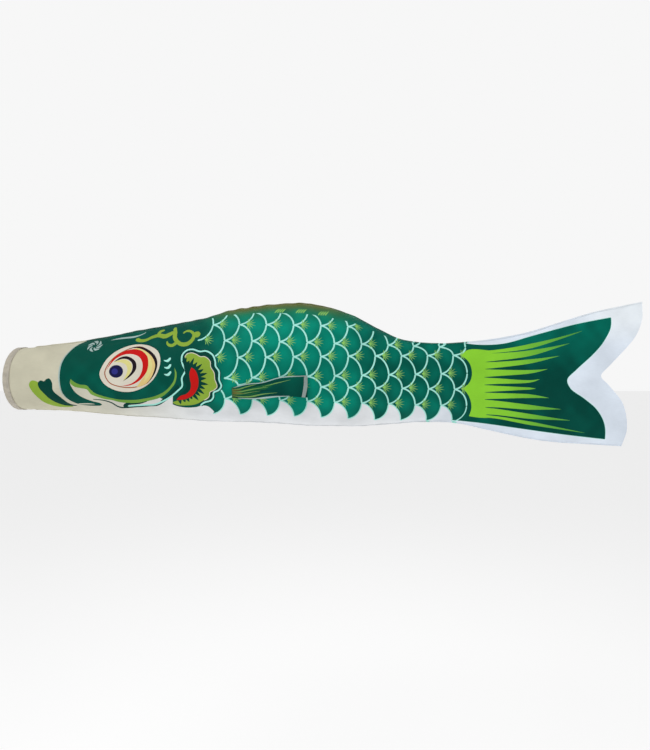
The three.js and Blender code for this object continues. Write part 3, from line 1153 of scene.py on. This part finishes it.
def add_stitch(build, a, b, up, radius, colour, look=1):
    """One thread stitch from a to b, with its middle lifted off the cloth along up."""
    a, b, up = (np.array(p, float) for p in (a, b, up))
    along = b - a
    length = np.linalg.norm(along)
    along /= length
    side = np.cross(along, up)
    side /= np.linalg.norm(side)
    rise = np.cross(side, along)
    rings = []
    for share, size in ((0, 0.35), (0.15, 0.9), (0.5, 1.0), (0.85, 0.9), (1, 0.35)):
        centre = a + along * length * share + rise * radius * (1.6 * math.sin(math.pi * share) - 0.5)
        turns = [2 * math.pi * k / 5 for k in range(5)]
        rings.append([centre + radius * size * (side * math.cos(t) + rise * math.sin(t)) for t in turns])
    add_band(build, rings, colour, look=look)


# ---- materials ----------------------------------------------------------------------------------


class Look:
    """A node material on a Principled shader."""

    def __init__(self, name, roughness, specular=0.5, sheen=0.0, metallic=0.0):
        self.material = bpy.data.materials.new(name)
        self.material.use_nodes = True
        self.tree = self.material.node_tree
        self.shader = self.tree.nodes["Principled BSDF"]
        self.shader.inputs["Roughness"].default_value = roughness
        self.shader.inputs["Specular IOR Level"].default_value = specular
        self.shader.inputs["Sheen Weight"].default_value = sheen
        self.shader.inputs["Sheen Roughness"].default_value = 0.5
        self.shader.inputs["Metallic"].default_value = metallic

    def node(self, kind, **values):
        made = self.tree.nodes.new(kind)
        for key, value in values.items():
            if key in made.inputs:
                made.inputs[key].default_value = value
            else:
                setattr(made, key, value)
        return made

    def link(self, a, b):
        self.tree.links.new(a, b)

    def print_colour(self):
        return self.node("ShaderNodeAttribute", attribute_name="print").outputs["Color"]

    def flat(self, scale=(1, 1, 1)):
        """The piece's flat cut, as coordinates in metres."""
        place = self.node("ShaderNodeMapping")
        place.inputs["Scale"].default_value = scale
        self.link(self.node("ShaderNodeUVMap", uv_map="flat").outputs[0], place.inputs[0])
        return place.outputs[0]

    def noise(self, vector, scale, detail=2.0):
        made = self.node("ShaderNodeTexNoise", Scale=scale, Detail=detail)
        self.link(vector, made.inputs["Vector"])
        return made.outputs[0]

    def threads(self, vector, pitch, direction):
        """Rounded ridges with the given pitch in metres, across X or Y."""
        made = self.node("ShaderNodeTexWave", bands_direction=direction, Scale=2 * math.pi / 20 / pitch)
        made.inputs["Distortion"].default_value = 0.6
        made.inputs["Detail Scale"].default_value = 0.4
        self.link(vector, made.inputs["Vector"])
        return made.outputs["Fac"]

    def between(self, value, low, high):
        """A value from 0.3 to 0.7, such as a noise, spread from low to high."""
        made = self.node("ShaderNodeMapRange")
        made.inputs["From Min"].default_value = 0.3
        made.inputs["From Max"].default_value = 0.7
        made.inputs["To Min"].default_value = low
        made.inputs["To Max"].default_value = high
        self.link(value, made.inputs["Value"])
        return made.outputs[0]

    def maths(self, operation, a, b):
        made = self.node("ShaderNodeMath", operation=operation)
        for place, value in enumerate((a, b)):
            if isinstance(value, (int, float)):
                made.inputs[place].default_value = value
            else:
                self.link(value, made.inputs[place])
        return made.outputs[0]

    def shade(self, colour, share):
        """A colour made darker or lighter by a share."""
        made = self.node("ShaderNodeVectorMath", operation="SCALE")
        self.link(colour, made.inputs[0])
        self.link(share, made.inputs["Scale"])
        return made.outputs[0]

    def bump(self, height, depth, strength):
        made = self.node("ShaderNodeBump")
        made.inputs["Strength"].default_value = strength
        made.inputs["Distance"].default_value = depth
        self.link(height, made.inputs["Height"])
        self.link(made.outputs[0], self.shader.inputs["Normal"])

    def colour(self, source):
        self.link(source, self.shader.inputs["Base Color"])


def cloth_material():
    """Thin printed polyester: a fine plain weave with slubs, uneven dye and a soft shine."""
    look = Look("printed_cloth", roughness=0.5, specular=0.05)
    flat = look.flat()
    cloudy = look.between(look.noise(flat, 21, 3), 0.9, 1.06)
    slubs = look.between(look.noise(look.flat((90, 2600, 1)), 1, 1), 0.975, 1.02)
    look.colour(look.shade(look.print_colour(), look.maths("MULTIPLY", cloudy, slubs)))
    look.link(look.between(look.noise(flat, 60, 2), 0.46, 0.64), look.shader.inputs["Roughness"])
    weave = look.maths("ADD", look.threads(flat, 0.0009, "X"), look.threads(flat, 0.0009, "Y"))
    wrinkled = look.maths("MULTIPLY", look.noise(flat, 95, 4), 6.0)
    look.bump(look.maths("ADD", weave, wrinkled), 0.00012, 0.55)
    return look.material


def tape_material():
    """Ribbed cotton binding tape, a little soiled in patches, with painted shade in the grooves between its
    ribs.
    """
    look = Look("binding_tape", roughness=0.8, specular=0.25, sheen=0.25)
    flat = look.flat()
    ribs = look.threads(flat, 0.0011, "X")
    cross = look.threads(flat, 0.0007, "Y")
    soil = look.between(look.noise(flat, 130, 4), 0.8, 1.08)
    # Painted shade: the colour is darker in the grooves between the ribs.
    painted_groove_shade = look.between(ribs, 0.9, 1.04)
    look.colour(look.shade(look.print_colour(), look.maths("MULTIPLY", soil, painted_groove_shade)))
    look.bump(look.maths("ADD", ribs, look.maths("MULTIPLY", cross, 0.4)), 0.0003, 0.8)
    return look.material


def thread_material():
    """Twisted sewing thread."""
    look = Look("thread", roughness=0.6, specular=0.4, sheen=0.2)
    place = look.node("ShaderNodeTexCoord").outputs["Generated"]
    twist = look.noise(place, 900, 1)
    look.colour(look.shade(look.print_colour(), look.between(twist, 0.85, 1.08)))
    look.bump(twist, 0.0001, 0.6)
    return look.material


def wire_material():
    """Galvanised spring wire with faint draw marks and dull patches."""
    look = Look("hoop_wire", roughness=0.35, metallic=1.0)
    place = look.node("ShaderNodeTexCoord").outputs["Object"]
    patches = look.noise(place, 260, 4)
    grey = look.node("ShaderNodeRGB")
    grey.outputs[0].default_value = (*linear((184, 186, 190)), 1)
    look.colour(look.shade(grey.outputs[0], look.between(patches, 0.82, 1.05)))
    look.link(look.between(patches, 0.48, 0.28), look.shader.inputs["Roughness"])
    look.bump(look.noise(place, 2400, 1), 0.00004, 0.5)
    return look.material


# ---- the cloth flanks ---------------------------------------------------------------------------


def flank_border():
    """The flat outline of one flank's cloth."""
    top_x = np.linspace(CLOTH_FRONT, LENGTH, 260)
    low_x = np.linspace(TAIL_EDGE[0][1], CLOTH_FRONT, 250)
    share = np.linspace(1, 0, 70)[1:-1]
    rear_x = tail_edge(share)
    turn = np.arccos(2 * share - 1)
    rear_w = look_up(FLAT_W, row_of(rear_x), turn / math.pi * (len(TURNS) - 1))
    front_w = np.linspace(edge_w(CLOTH_FRONT)[1], edge_w(CLOTH_FRONT)[0], 60)[1:-1]
    top = np.column_stack([top_x, edge_w(top_x)[0]])
    rear = np.column_stack([rear_x, rear_w])
    low = np.column_stack([low_x, edge_w(low_x)[1]])
    front = np.column_stack([np.full(len(front_w), CLOTH_FRONT), front_w])
    return np.vstack([top, rear, low, front])


def flank_seeds():
    """Points spread over the flat cloth, closer along the puckered seams."""
    seeds = []
    for row, x in enumerate(np.arange(CLOTH_FRONT + 3, LENGTH, 3.6)):
        top, low = edge_w(x)
        steps = round((top - low) / 3.8)
        shift = 0.5 * (row % 2)
        share = (np.arange(steps) + shift + 0.25) / steps
        share = share - 0.07 * np.sin(2 * math.pi * share)
        seeds += [(x, top - (top - low) * s) for s in share]
    return seeds


def cut_flank():
    """One flank's flat points, triangles, and each triangle's colour."""
    shapes = flank_print()
    cuts = []
    for _, front, *_ in STRETCHES[1:]:
        top, low = edge_w(front)
        for x in (front - CUT_BAND, front, front + CUT_BAND):
            w = np.linspace(top - 0.3, low + 0.3, 60)
            cuts.append(np.column_stack([np.full(60, x), w]))
    for line in cuts:
        line[0, 1] += 2
        line[-1, 1] -= 2
    flat, corners = cut_sheet(flank_border(), shapes, cuts, flank_seeds())
    middles = flat[corners].mean(axis=1)
    names = np.repeat(printed_ink(shapes, middles, "cloth"), 3)
    colours = flank_colours(names, flat[corners].reshape(-1, 2)).reshape(-1, 3, 3)
    return flat, corners, colours, shapes


def flank_area(front, rear):
    """Flat width, length and area of one part of a flank, in metres."""
    xs = np.linspace(max(front, CLOTH_FRONT), min(rear, LENGTH), 400)
    top, low = edge_w(xs)
    share = (1 + np.cos(np.linspace(0, math.pi, 60)))[None, :] / 2
    filled = (xs[:, None] < tail_edge(share)).mean(axis=1)
    area = float(((top - low) * filled).mean() * (xs[-1] - xs[0]))
    return (top - low).max() * MM, (xs[-1] - xs[0]) * MM, area * MM * MM


def make_flanks(material):
    flat, corners, colours, shapes = cut_flank()
    middles = flat[corners].mean(axis=1)
    made = {}
    for side_name, side in SIDES.items():
        outer, inner = cloth_points(flat[:, 0], flat[:, 1], side)
        for name, front, rear, body_a, body_b, start, end, nodes in STRETCHES:
            chosen = (middles[:, 0] >= front) & (middles[:, 0] < rear)
            build = Build()
            add_shell(
                build,
                outer,
                inner,
                corners[chosen],
                colours[chosen],
                flat * MM,
                PRINT_SHOWS,
                side > 0,
            )
            piece = build.make(f"{side_name}_flank_{name}", material)
            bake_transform(piece)
            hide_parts(*[f"{side_name}_panel_{node}" for node in nodes])
            made[side_name, name] = piece
    return made, shapes


# ---- the sewn ridges along the back and the belly ------------------------------------------------

SEAM_FRONT = 12.5  # the seam runs flat from here, just behind the binding
RIDGE_START = 26  # and stands up from here
RIDGE_TOP = 1.65
RIDGE_SECTION = [
    (-1.05, -0.6),
    (-1.1, 0.3),
    (-0.9, 1.1),
    (-0.5, RIDGE_TOP),
    (0.5, RIDGE_TOP),
    (0.9, 1.1),
    (1.1, 0.3),
    (1.05, -0.6),
]
STITCH_PITCH = 3.0
STITCH_LENGTH = 2.2
THREAD_RADIUS = 0.16


def ridge_frame(x, up):
    """The ridge's foot at x, and how far its free edge leans to +Y."""
    top, low = edge_w(x)
    outer, _ = cloth_points(x, top if up > 0 else low, RIGHT)
    foot = outer / MM
    foot[:, 1] = sway(x, top if up > 0 else low)
    lean = 0.45 * np.sin(x / 5.2 + 1.3 * ripples(x, 0 * x, 70, 8 + up)) + 0.3 * ripples(
        x,
        0 * x,
        30,
        11 + up,
    )
    return foot, lean


def add_ridge(build, shapes, up, front, rear, last):
    xs = np.linspace(front, rear, max(3, round((rear - front) / 2.4)))
    foot, lean = ridge_frame(xs, up)
    section_points = np.array(RIDGE_SECTION)[::up]
    stands = 0.25 + 0.75 * smoothstep(xs, RIDGE_START - 2, RIDGE_START + 0.5)
    rings = np.empty((len(xs), len(section_points), 3))
    for j, (out, rise) in enumerate(section_points):
        share = max(rise, 0) / RIDGE_TOP * stands
        rings[:, j, 0] = foot[:, 0]
        rings[:, j, 1] = foot[:, 1] + out + lean * share
        rings[:, j, 2] = foot[:, 2] + up * rise * (stands if rise > 0 else 1)
    top, low = edge_w(xs)
    edge = np.column_stack([xs, top - 1.6 if up > 0 else low + 1.6])
    # The ridge takes the flank's colour at the seam, its painted light included.
    paint = flank_colours(printed_ink(shapes, edge, "cloth"), edge)
    sides = len(section_points)
    colours = np.vstack([np.repeat(paint[:-1], sides, axis=0), paint[:1], paint[-1:]])
    uvs = np.column_stack([np.repeat(xs, sides), np.tile(section_points[:, 1], len(xs))]) * MM
    add_band(build, rings * MM, colours, uvs=uvs)
    starts = np.arange(RIDGE_START + 0.6, last - STITCH_LENGTH, STITCH_PITCH)
    for x in starts[(starts >= front) & (starts < rear)]:
        ends, leans = ridge_frame(np.array([x, x + STITCH_LENGTH]), up)
        for side in (LEFT, RIGHT):
            line = ends + np.array([0, side * 1.02, up * 0.7])
            line[:, 1] += leans * 0.42
            add_stitch(build, *(line * MM), (0, side, 0), THREAD_RADIUS * MM, linear(INKS["thread"]))


def make_ridges(shapes, cloth, thread):
    made = {}
    for ridge_name, up, end in (("dorsal", 1, LENGTH), ("belly", -1, TAIL_EDGE[0][1])):
        for name, front, rear, body_a, body_b, start, finish, nodes in STRETCHES:
            build = Build()
            add_ridge(build, shapes, up, max(front, SEAM_FRONT), min(rear, end - 0.5), end - 0.5)
            piece = build.make(f"{ridge_name}_ridge_{name}", cloth, thread)
            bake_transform(piece)
            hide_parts(*[f"{ridge_name}_seam_{node}" for node in nodes])
            made[ridge_name, name] = piece
    return made


# ---- the pectoral fins --------------------------------------------------------------------------

FIN_ROOT = 347.5
FIN_TIP = 463
FIN_TOP = [(0, -14), (.2, -8), (.4, -5.5), (.65, 2.5), (1, 5)]
FIN_BOTTOM = [(0, -29.5), (.35, -31), (.7, -27), (1, -28.5)]
FIN_STAND_OFF = 46  # from the middle plane to the fin's inner face
FIN_FLARE = 5
FIN_BILLOW = 1.5
fin_top = smooth_line(FIN_TOP)
fin_bottom = smooth_line(FIN_BOTTOM)


def fin_border():
    share = np.linspace(0, 1, 46)
    x = FIN_ROOT + (FIN_TIP - FIN_ROOT) * share
    top = np.column_stack([x, fin_top(share)])
    low = np.column_stack([x, fin_bottom(share)])[::-1]
    return np.vstack([top, low])


def fin_print():
    hem_x = np.linspace(0.02, 1, 16)
    top_hem = [(FIN_ROOT + (FIN_TIP - FIN_ROOT) * s, float(fin_top(s)) - 0.4) for s in hem_x]
    return [
        ("leaf_dark", stroke([(349, -21), (366, -21), (388, -15), (412, -9)], 11, 15, 12, 0.5)),
        (
            "dark",
            stroke([(352, -17.5), (368, -15), (384, -11), (410, -5), (432, -0.5)], 0.8, 1.8, 2.6, 2.4, 0.5),
        ),
        ("dark", stroke([(352, -22.5), (368, -22.5), (388, -19), (416, -17)], 0.8, 2.2, 3, 0.4)),
        ("dark", stroke([(352, -25.5), (370, -26), (392, -24.5), (428, -21)], 0.8, 2, 3, 0.4)),
        ("streak", stroke([(348, -17), (358, -16), (370, -12.5), (386, -8.5)], 1, 1.8, 1.6, 0.4)),
        (
            "streak",
            stroke([(348, -20), (360, -20), (372, -17.5), (386, -15), (404, -12.5)], 1, 1.8, 1.6, 1, 0.3),
        ),
        ("streak", stroke([(348, -23), (362, -23), (378, -20.5), (392, -18.5)], 1, 1.4, 1, 0.3)),
        (
            "streak",
            stroke([(348, -26), (364, -27.5), (378, -27), (392, -24), (418, -21)], 1, 1.8, 2.4, 1.2, 0.3),
        ),
        ("streak", stroke([(394, -12.5), (415, -7), (438, -1.5)], 0.4, 1.4, 0.3)),
        ("root", stroke([(348, -22), (358, -22), (368, -23)], 2, 1.4, 0.4)),
        ("root", stroke([(348, -18.3), (356, -18.3), (364, -17.5)], 1.4, 1, 0.4)),
        ("hem", stroke(top_hem, 1.2, 1.9, 2.1)),
        (
            "hem",
            stroke(
                [(356, -29.6), (370, -30.3), (386, -30.4), (406, -28.4), (436, -26.4)],
                0.8,
                1.8,
                3.2,
                3.2,
                0.8,
            ),
        ),
        (
            "hem",
            outline(
                [(458.5, 7), (465, 7)],
                [(465, 7), (463, -12), (459, -31)],
                [(459, -31), (453.5, -31)],
                [(453.5, -31), (457, -12), (458.5, 7)],
            ),
        ),
    ]


def fin_points(x, z, side):
    """Outer and inner face of a fin's cloth, in metres."""
    share = np.clip((x - FIN_ROOT) / (FIN_TIP - FIN_ROOT), 0, 1)
    down = (fin_top(share) - z) / (fin_top(share) - fin_bottom(share))
    stand = FIN_STAND_OFF + FIN_FLARE * share + FIN_BILLOW * np.sin(math.pi * share)
    pleats = 1.0 * (1 - share) ** 1.5 * np.sin(2 * math.pi * 2.6 * down + 0.8)
    flutter = 1.1 * share * np.sin(2 * math.pi * (0.9 * down + 1.3 * share)) + 0.5 * ripples(x, z, 34, 21)
    middle = (back_line(x) + belly_line(x)) / 2
    half = (back_line(x) - belly_line(x)) / 2
    flank = section(x, np.arccos(np.clip((z - middle) / half, -1, 1)))[0] + 0.9
    sewn = 1 - smoothstep(share, 0.015, 0.2)
    y = (stand + pleats + flutter) * (1 - sewn) + flank * sewn
    hem = 0.35 * smoothstep(x, FIN_TIP - 7, FIN_TIP - 6)
    outer = np.column_stack([x, side * (y + CLOTH + hem), z]) * MM
    inner = np.column_stack([x, side * y, z]) * MM
    return outer, inner


def fin_colours(names, points):
    """Each point's colour as linear light: browner at the root, greyer down the rear hem, and with patches
    of painted sheen that lighten upward on the plain cloth.
    """
    colours = np.array([INKS[name] for name in names], float)
    x, z = points.T
    plain = names == "coat"
    # Painted light: patches of painted sheen, lighter towards the top.
    painted_sheen = 0.5 + 0.3 * ripples(x, z, 40, 61) + 0.02 * (z + 12)
    colours = mix(colours, (0, 60, 52), plain)
    colours = mix(colours, (0, 92, 76), plain * np.clip(painted_sheen, 0, 1))
    colours = mix(colours, INKS["root"], 0.5 * (1 - smoothstep(x, FIN_ROOT, FIN_ROOT + 14)))
    colours = mix(colours, (142, 156, 152), (names == "hem") * smoothstep(x, 430, 454))
    return linear(colours)


def make_fins(cloth, thread):
    border, shapes = fin_border(), fin_print()
    seeds = [(x, z) for x in np.arange(FIN_ROOT + 2, FIN_TIP, 2.1) for z in np.arange(-31, 5, 2.1)]
    flat, corners = cut_sheet(border, shapes, [], seeds)
    middles = flat[corners].mean(axis=1)
    names = printed_ink(shapes, middles, "coat")
    colours = fin_colours(np.repeat(names, 3), flat[corners].reshape(-1, 2)).reshape(-1, 3, 3)
    made = {}
    for side_name, side in SIDES.items():
        outer, inner = fin_points(flat[:, 0], flat[:, 1], side)
        build = Build()
        add_shell(build, outer, inner, corners, colours, flat * MM, FIN_PRINT_SHOWS, side > 0)
        for z in np.arange(-28.4, -15, 1.9):
            ends = np.array([(FIN_ROOT + 1.4, z), (FIN_ROOT + 1.4, z + 1.4)])
            line, _ = fin_points(ends[:, 0], ends[:, 1], side)
            add_stitch(build, *line, (0, side, 0), THREAD_RADIUS * MM, linear(INKS["streak"]))
        for z in np.arange(-26, 2, 2.6):
            ends = np.array([(FIN_TIP - 5.2, z), (FIN_TIP - 5.2, z + 1.9)])
            line, _ = fin_points(ends[:, 0], ends[:, 1], side)
            add_stitch(build, *line, (0, side, 0), THREAD_RADIUS * MM, linear(INKS["thread"]))
        piece = build.make(f"{side_name}_fin", cloth, thread)
        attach(piece, f"{side_name}_fin")
        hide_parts(f"{side_name}_pectoral_fin")
        made[side_name] = piece
    return made


# ---- the mouth: binding tape and bridle loops ----------------------------------------------------

TAPE = 0.6
_, binding_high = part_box("mouth_binding")
MOUTH_RADIUS = binding_high.z / MM
BINDING_WIDTH = binding_high.x / MM
loop_low, loop_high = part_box("bridle_loop_top")
LOOP_BASE = loop_high.z / MM
LOOP_HEIGHT = (loop_high.z - loop_low.z) / MM
LOOP_HALF = (loop_high.y - loop_low.y) / 2 / MM
LOOP_FRONT, LOOP_REAR = loop_low.x / MM, loop_high.x / MM
INSIDE_RADIUS = LOOP_BASE + 0.6  # inside of the folded tape
LOOP_ANGLES = {"top": 90, "left": 210, "right": 330}


def tape_path():
    """The folded tape's middle line in x and radius, from its outer rear edge round the front."""
    outside, within = MOUTH_RADIUS - TAPE / 2, INSIDE_RADIUS + TAPE / 2
    round_half = (outside - within) / 2
    turn = np.linspace(math.pi / 2, -math.pi / 2, 17)
    nose_x = round_half * (1 - np.abs(np.cos(turn)) ** 0.62)
    nose_r = (outside + within) / 2 + round_half * np.sign(turn) * np.abs(np.sin(turn)) ** 0.62
    nose = np.column_stack([nose_x, nose_r])
    legs = np.linspace(BINDING_WIDTH, round_half + 0.5, 8)
    top = np.column_stack([legs, np.full(8, outside)])
    low = np.column_stack([legs[::-1], np.full(8, within)])
    nose[:, 0] = TAPE / 2 + nose[:, 0] * (round_half - TAPE / 2) / round_half
    return np.vstack([top, nose, low])


def add_binding(build):
    path = tape_path()
    tangent = np.gradient(path, axis=0)
    tangent /= np.linalg.norm(tangent, axis=1)[:, None]
    out = np.column_stack([-tangent[:, 1], tangent[:, 0]])
    around = 216
    run = np.concatenate([[0], np.cumsum(np.linalg.norm(np.diff(path, axis=0), axis=1))])
    rings, uvs = [], []
    for i in range(around):
        angle = 2 * math.pi * i / around
        length = np.array([angle * MOUTH_RADIUS])
        long_lump = ripples(length, 0 * length, 16, 31)[0]
        short_lump = ripples(length, 0 * length, 6, 32)[0]
        lump = float(0.16 * long_lump + 0.07 * short_lump)
        slip = float(0.3 * ripples(length, 0 * length, 40, 33)[0])
        share = run / run[-1]
        edge = np.array(path)
        edge[:, 0] += np.where(path[:, 0] > 4, slip * (2 * np.abs(share - 0.5)), 0)
        edge[:, 1] += lump
        ring = np.vstack([edge + out * TAPE / 2, (edge - out * TAPE / 2)[::-1]])
        rings.append([(x, r * math.cos(angle), r * math.sin(angle)) for x, r in ring])
        uvs += [(angle * MOUTH_RADIUS, s) for s in (*run, *run[::-1])]
    add_band(
        build,
        np.array(rings)[::-1] * MM,
        linear(INKS["tape"]),
        closed_path=True,
        uvs=np.array(uvs[::-1]) * MM,
    )
    for radius, side in ((MOUTH_RADIUS + 0.04, 1), (INSIDE_RADIUS - 0.04, -1)):
        pitch = 3.1 / radius
        for i in range(int(2 * math.pi / pitch)):
            turns = (i * pitch, i * pitch + 2.3 / radius)
            ends = [(BINDING_WIDTH - 2.0, radius * math.cos(t), radius * math.sin(t)) for t in turns]
            up = (0, side * math.cos(i * pitch), side * math.sin(i * pitch))
            add_stitch(build, *(np.array(ends) * MM), up, 0.2 * MM, linear(INKS["thread"]))


def make_binding(tape, thread):
    build = Build()
    add_binding(build)
    piece = build.make("binding_tape", tape, thread, lap=2 * math.pi * MOUTH_RADIUS * MM)
    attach(piece, "head")
    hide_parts("mouth_binding")
    run = tape_path()


def loop_path(half, height, corner):
    """A closed line of (across, towards the mouth's middle) with a round bight."""
    turn = np.linspace(0, math.pi / 2, 6)
    bend = np.column_stack([half - corner + corner * np.cos(turn), height - corner + corner * np.sin(turn)])
    foot_turn = np.linspace(-math.pi / 2, 0, 4)
    foot = np.column_stack([half - 1 + np.cos(foot_turn), 1 + np.sin(foot_turn)])
    right = np.vstack([[(0, 0), (half * 0.5, 0)], foot, [(half, height * 0.45)], bend])
    left = right[::-1] * [-1, 1]
    return np.vstack([right, left[:-1]])


def add_loop(build, angle):
    """A folded tape loop sewn to the inside of the binding, standing towards the middle."""
    thick = 0.7
    outer = loop_path(LOOP_HALF - 0.05, LOOP_HEIGHT + 0.4, 3.6)
    inner = loop_path(LOOP_HALF - 0.05 - thick, LOOP_HEIGHT + 0.4 - 2 * thick, 3.0) + [0, thick]
    radial = np.array([0, math.cos(angle), math.sin(angle)])
    across = np.array([0, -math.sin(angle), math.cos(angle)])
    base = LOOP_BASE + 0.45

    def place(x, point):
        t, rise = point
        return np.array([x, 0, 0]) + radial * (base - rise) + across * t

    edges = [(LOOP_FRONT, 0.16), (LOOP_FRONT + 0.25, 0), (LOOP_REAR - 0.25, 0), (LOOP_REAR, 0.16)]
    rings, uvs = [], []
    run = 0.0
    for i, (a, b) in enumerate(zip(outer, inner)):
        wave = 0.25 * math.sin(i * 0.9 + angle)
        out = [place(x + wave, a + (b - a) * cut) for x, cut in edges]
        back = [place(x + wave, b + (a - b) * cut) for x, cut in edges[::-1]]
        rings.append(out + back)
        run += float(np.linalg.norm(outer[i] - outer[i - 1])) if i else 0.0
        uvs += [(run, x) for x, _ in edges + edges[::-1]]
    add_band(build, np.array(rings) * MM, linear(INKS["tape"]), closed_path=True, uvs=np.array(uvs) * MM)
    for row in range(5):
        for side in (-1, 1):
            t = side * (1.4 + 0.45 * row)
            ends = [place(x, (t, thick + 0.05)) for x in (LOOP_FRONT + 0.8, LOOP_REAR - 0.8)]
            add_stitch(build, *(np.array(ends) * MM), -radial, 0.16 * MM, linear(INKS["thread"]))


def make_loops(tape, thread):
    for name, degrees in LOOP_ANGLES.items():
        build = Build()
        add_loop(build, math.radians(degrees))
        piece = build.make(f"{name}_bridle_loop", tape, thread)
        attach(piece, "head")
        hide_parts(f"bridle_loop_{name}")


# ---- floor, light and camera ---------------------------------------------------------------------


def aim(thing, place, target):
    thing.location = place
    thing.rotation_euler = (Vector(target) - Vector(place)).to_track_quat("-Z", "Y").to_euler()
    bpy.context.scene.collection.objects.link(thing)


def make_lamp(name, place, target, size, watts):
    lamp = bpy.data.lights.new(name, "AREA")
    lamp.size = size
    lamp.energy = watts
    aim(bpy.data.objects.new(name, lamp), place, target)


def make_studio():
    floor_mesh = bpy.data.meshes.new("studio_floor")
    far = 40
    floor_z = -1.2
    corners = [(x * far, y * far, floor_z) for x, y in ((-1, -1), (1, -1), (1, 1), (-1, 1))]
    floor_mesh.from_pydata(corners, [], [(0, 1, 2, 3)])
    floor = bpy.data.objects.new("studio_floor", floor_mesh)
    bpy.context.scene.collection.objects.link(floor)
    look = Look("studio_floor", roughness=0.9, specular=0.1)
    look.shader.inputs["Base Color"].default_value = (0.6, 0.6, 0.6, 1)
    look.shader.inputs["Emission Color"].default_value = (1, 1, 1, 1)
    look.shader.inputs["Emission Strength"].default_value = 0.6
    floor_mesh.materials.append(look.material)
    make_sky()
    make_lamp("key", (-0.1, -1.5, 1.9), (0.45, 0, 0), 0.9, 30)
    make_lamp("rim", (0.7, 1.7, 1.7), (0.55, 0, 0), 1.4, 12)
    bpy.context.scene.view_settings.view_transform = "Standard"


def make_sky():
    """A pale backdrop all round, a little brighter to look at than the light that it gives."""
    world = bpy.data.worlds.new("studio")
    bpy.context.scene.world = world
    world.use_nodes = True
    tree = world.node_tree
    background = tree.nodes["Background"]
    background.inputs["Color"].default_value = (1, 1, 1, 1)
    seen = tree.nodes.new("ShaderNodeLightPath").outputs["Is Camera Ray"]
    strength = tree.nodes.new("ShaderNodeMapRange")
    strength.inputs["To Min"].default_value = 0.4
    strength.inputs["To Max"].default_value = 0.93
    tree.links.new(seen, strength.inputs["Value"])
    tree.links.new(strength.outputs[0], background.inputs["Strength"])


def make_camera():
    lens = bpy.data.cameras.new("camera")
    lens.lens = 26
    lens.sensor_width = 36
    camera = bpy.data.objects.new("camera", lens)
    across, up = 0.4895, 0.0056
    aim(camera, (across, -0.870, up), (across, 0, up))
    bpy.context.scene.camera = camera


# ---- the whole streamer --------------------------------------------------------------------------


def make_streamer():
    cloth, tape, thread = cloth_material(), tape_material(), thread_material()
    flanks, shapes = make_flanks(cloth)
    ridges = make_ridges(shapes, cloth, thread)
    fins = make_fins(cloth, thread)
    make_binding(tape, thread)
    make_loops(tape, thread)
    wire = wire_material()
    for node in ("mouth_hoop", "hoop_ferrule"):
        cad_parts[node].data.materials.clear()
        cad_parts[node].data.materials.append(wire)
    for name, front, rear, *_ in STRETCHES:
        width, length, area = flank_area(front, rear)
    heights = fin_top(np.linspace(0, 1, 50)) - fin_bottom(np.linspace(0, 1, 50))
    for side_name in SIDES:
        size = (float(heights.max()) * MM, (FIN_TIP - FIN_ROOT) * MM)
        area = float(heights.mean()) * MM * size[1]


make_camera()
make_studio()
make_streamer()
bpy.context.view_layer.update()
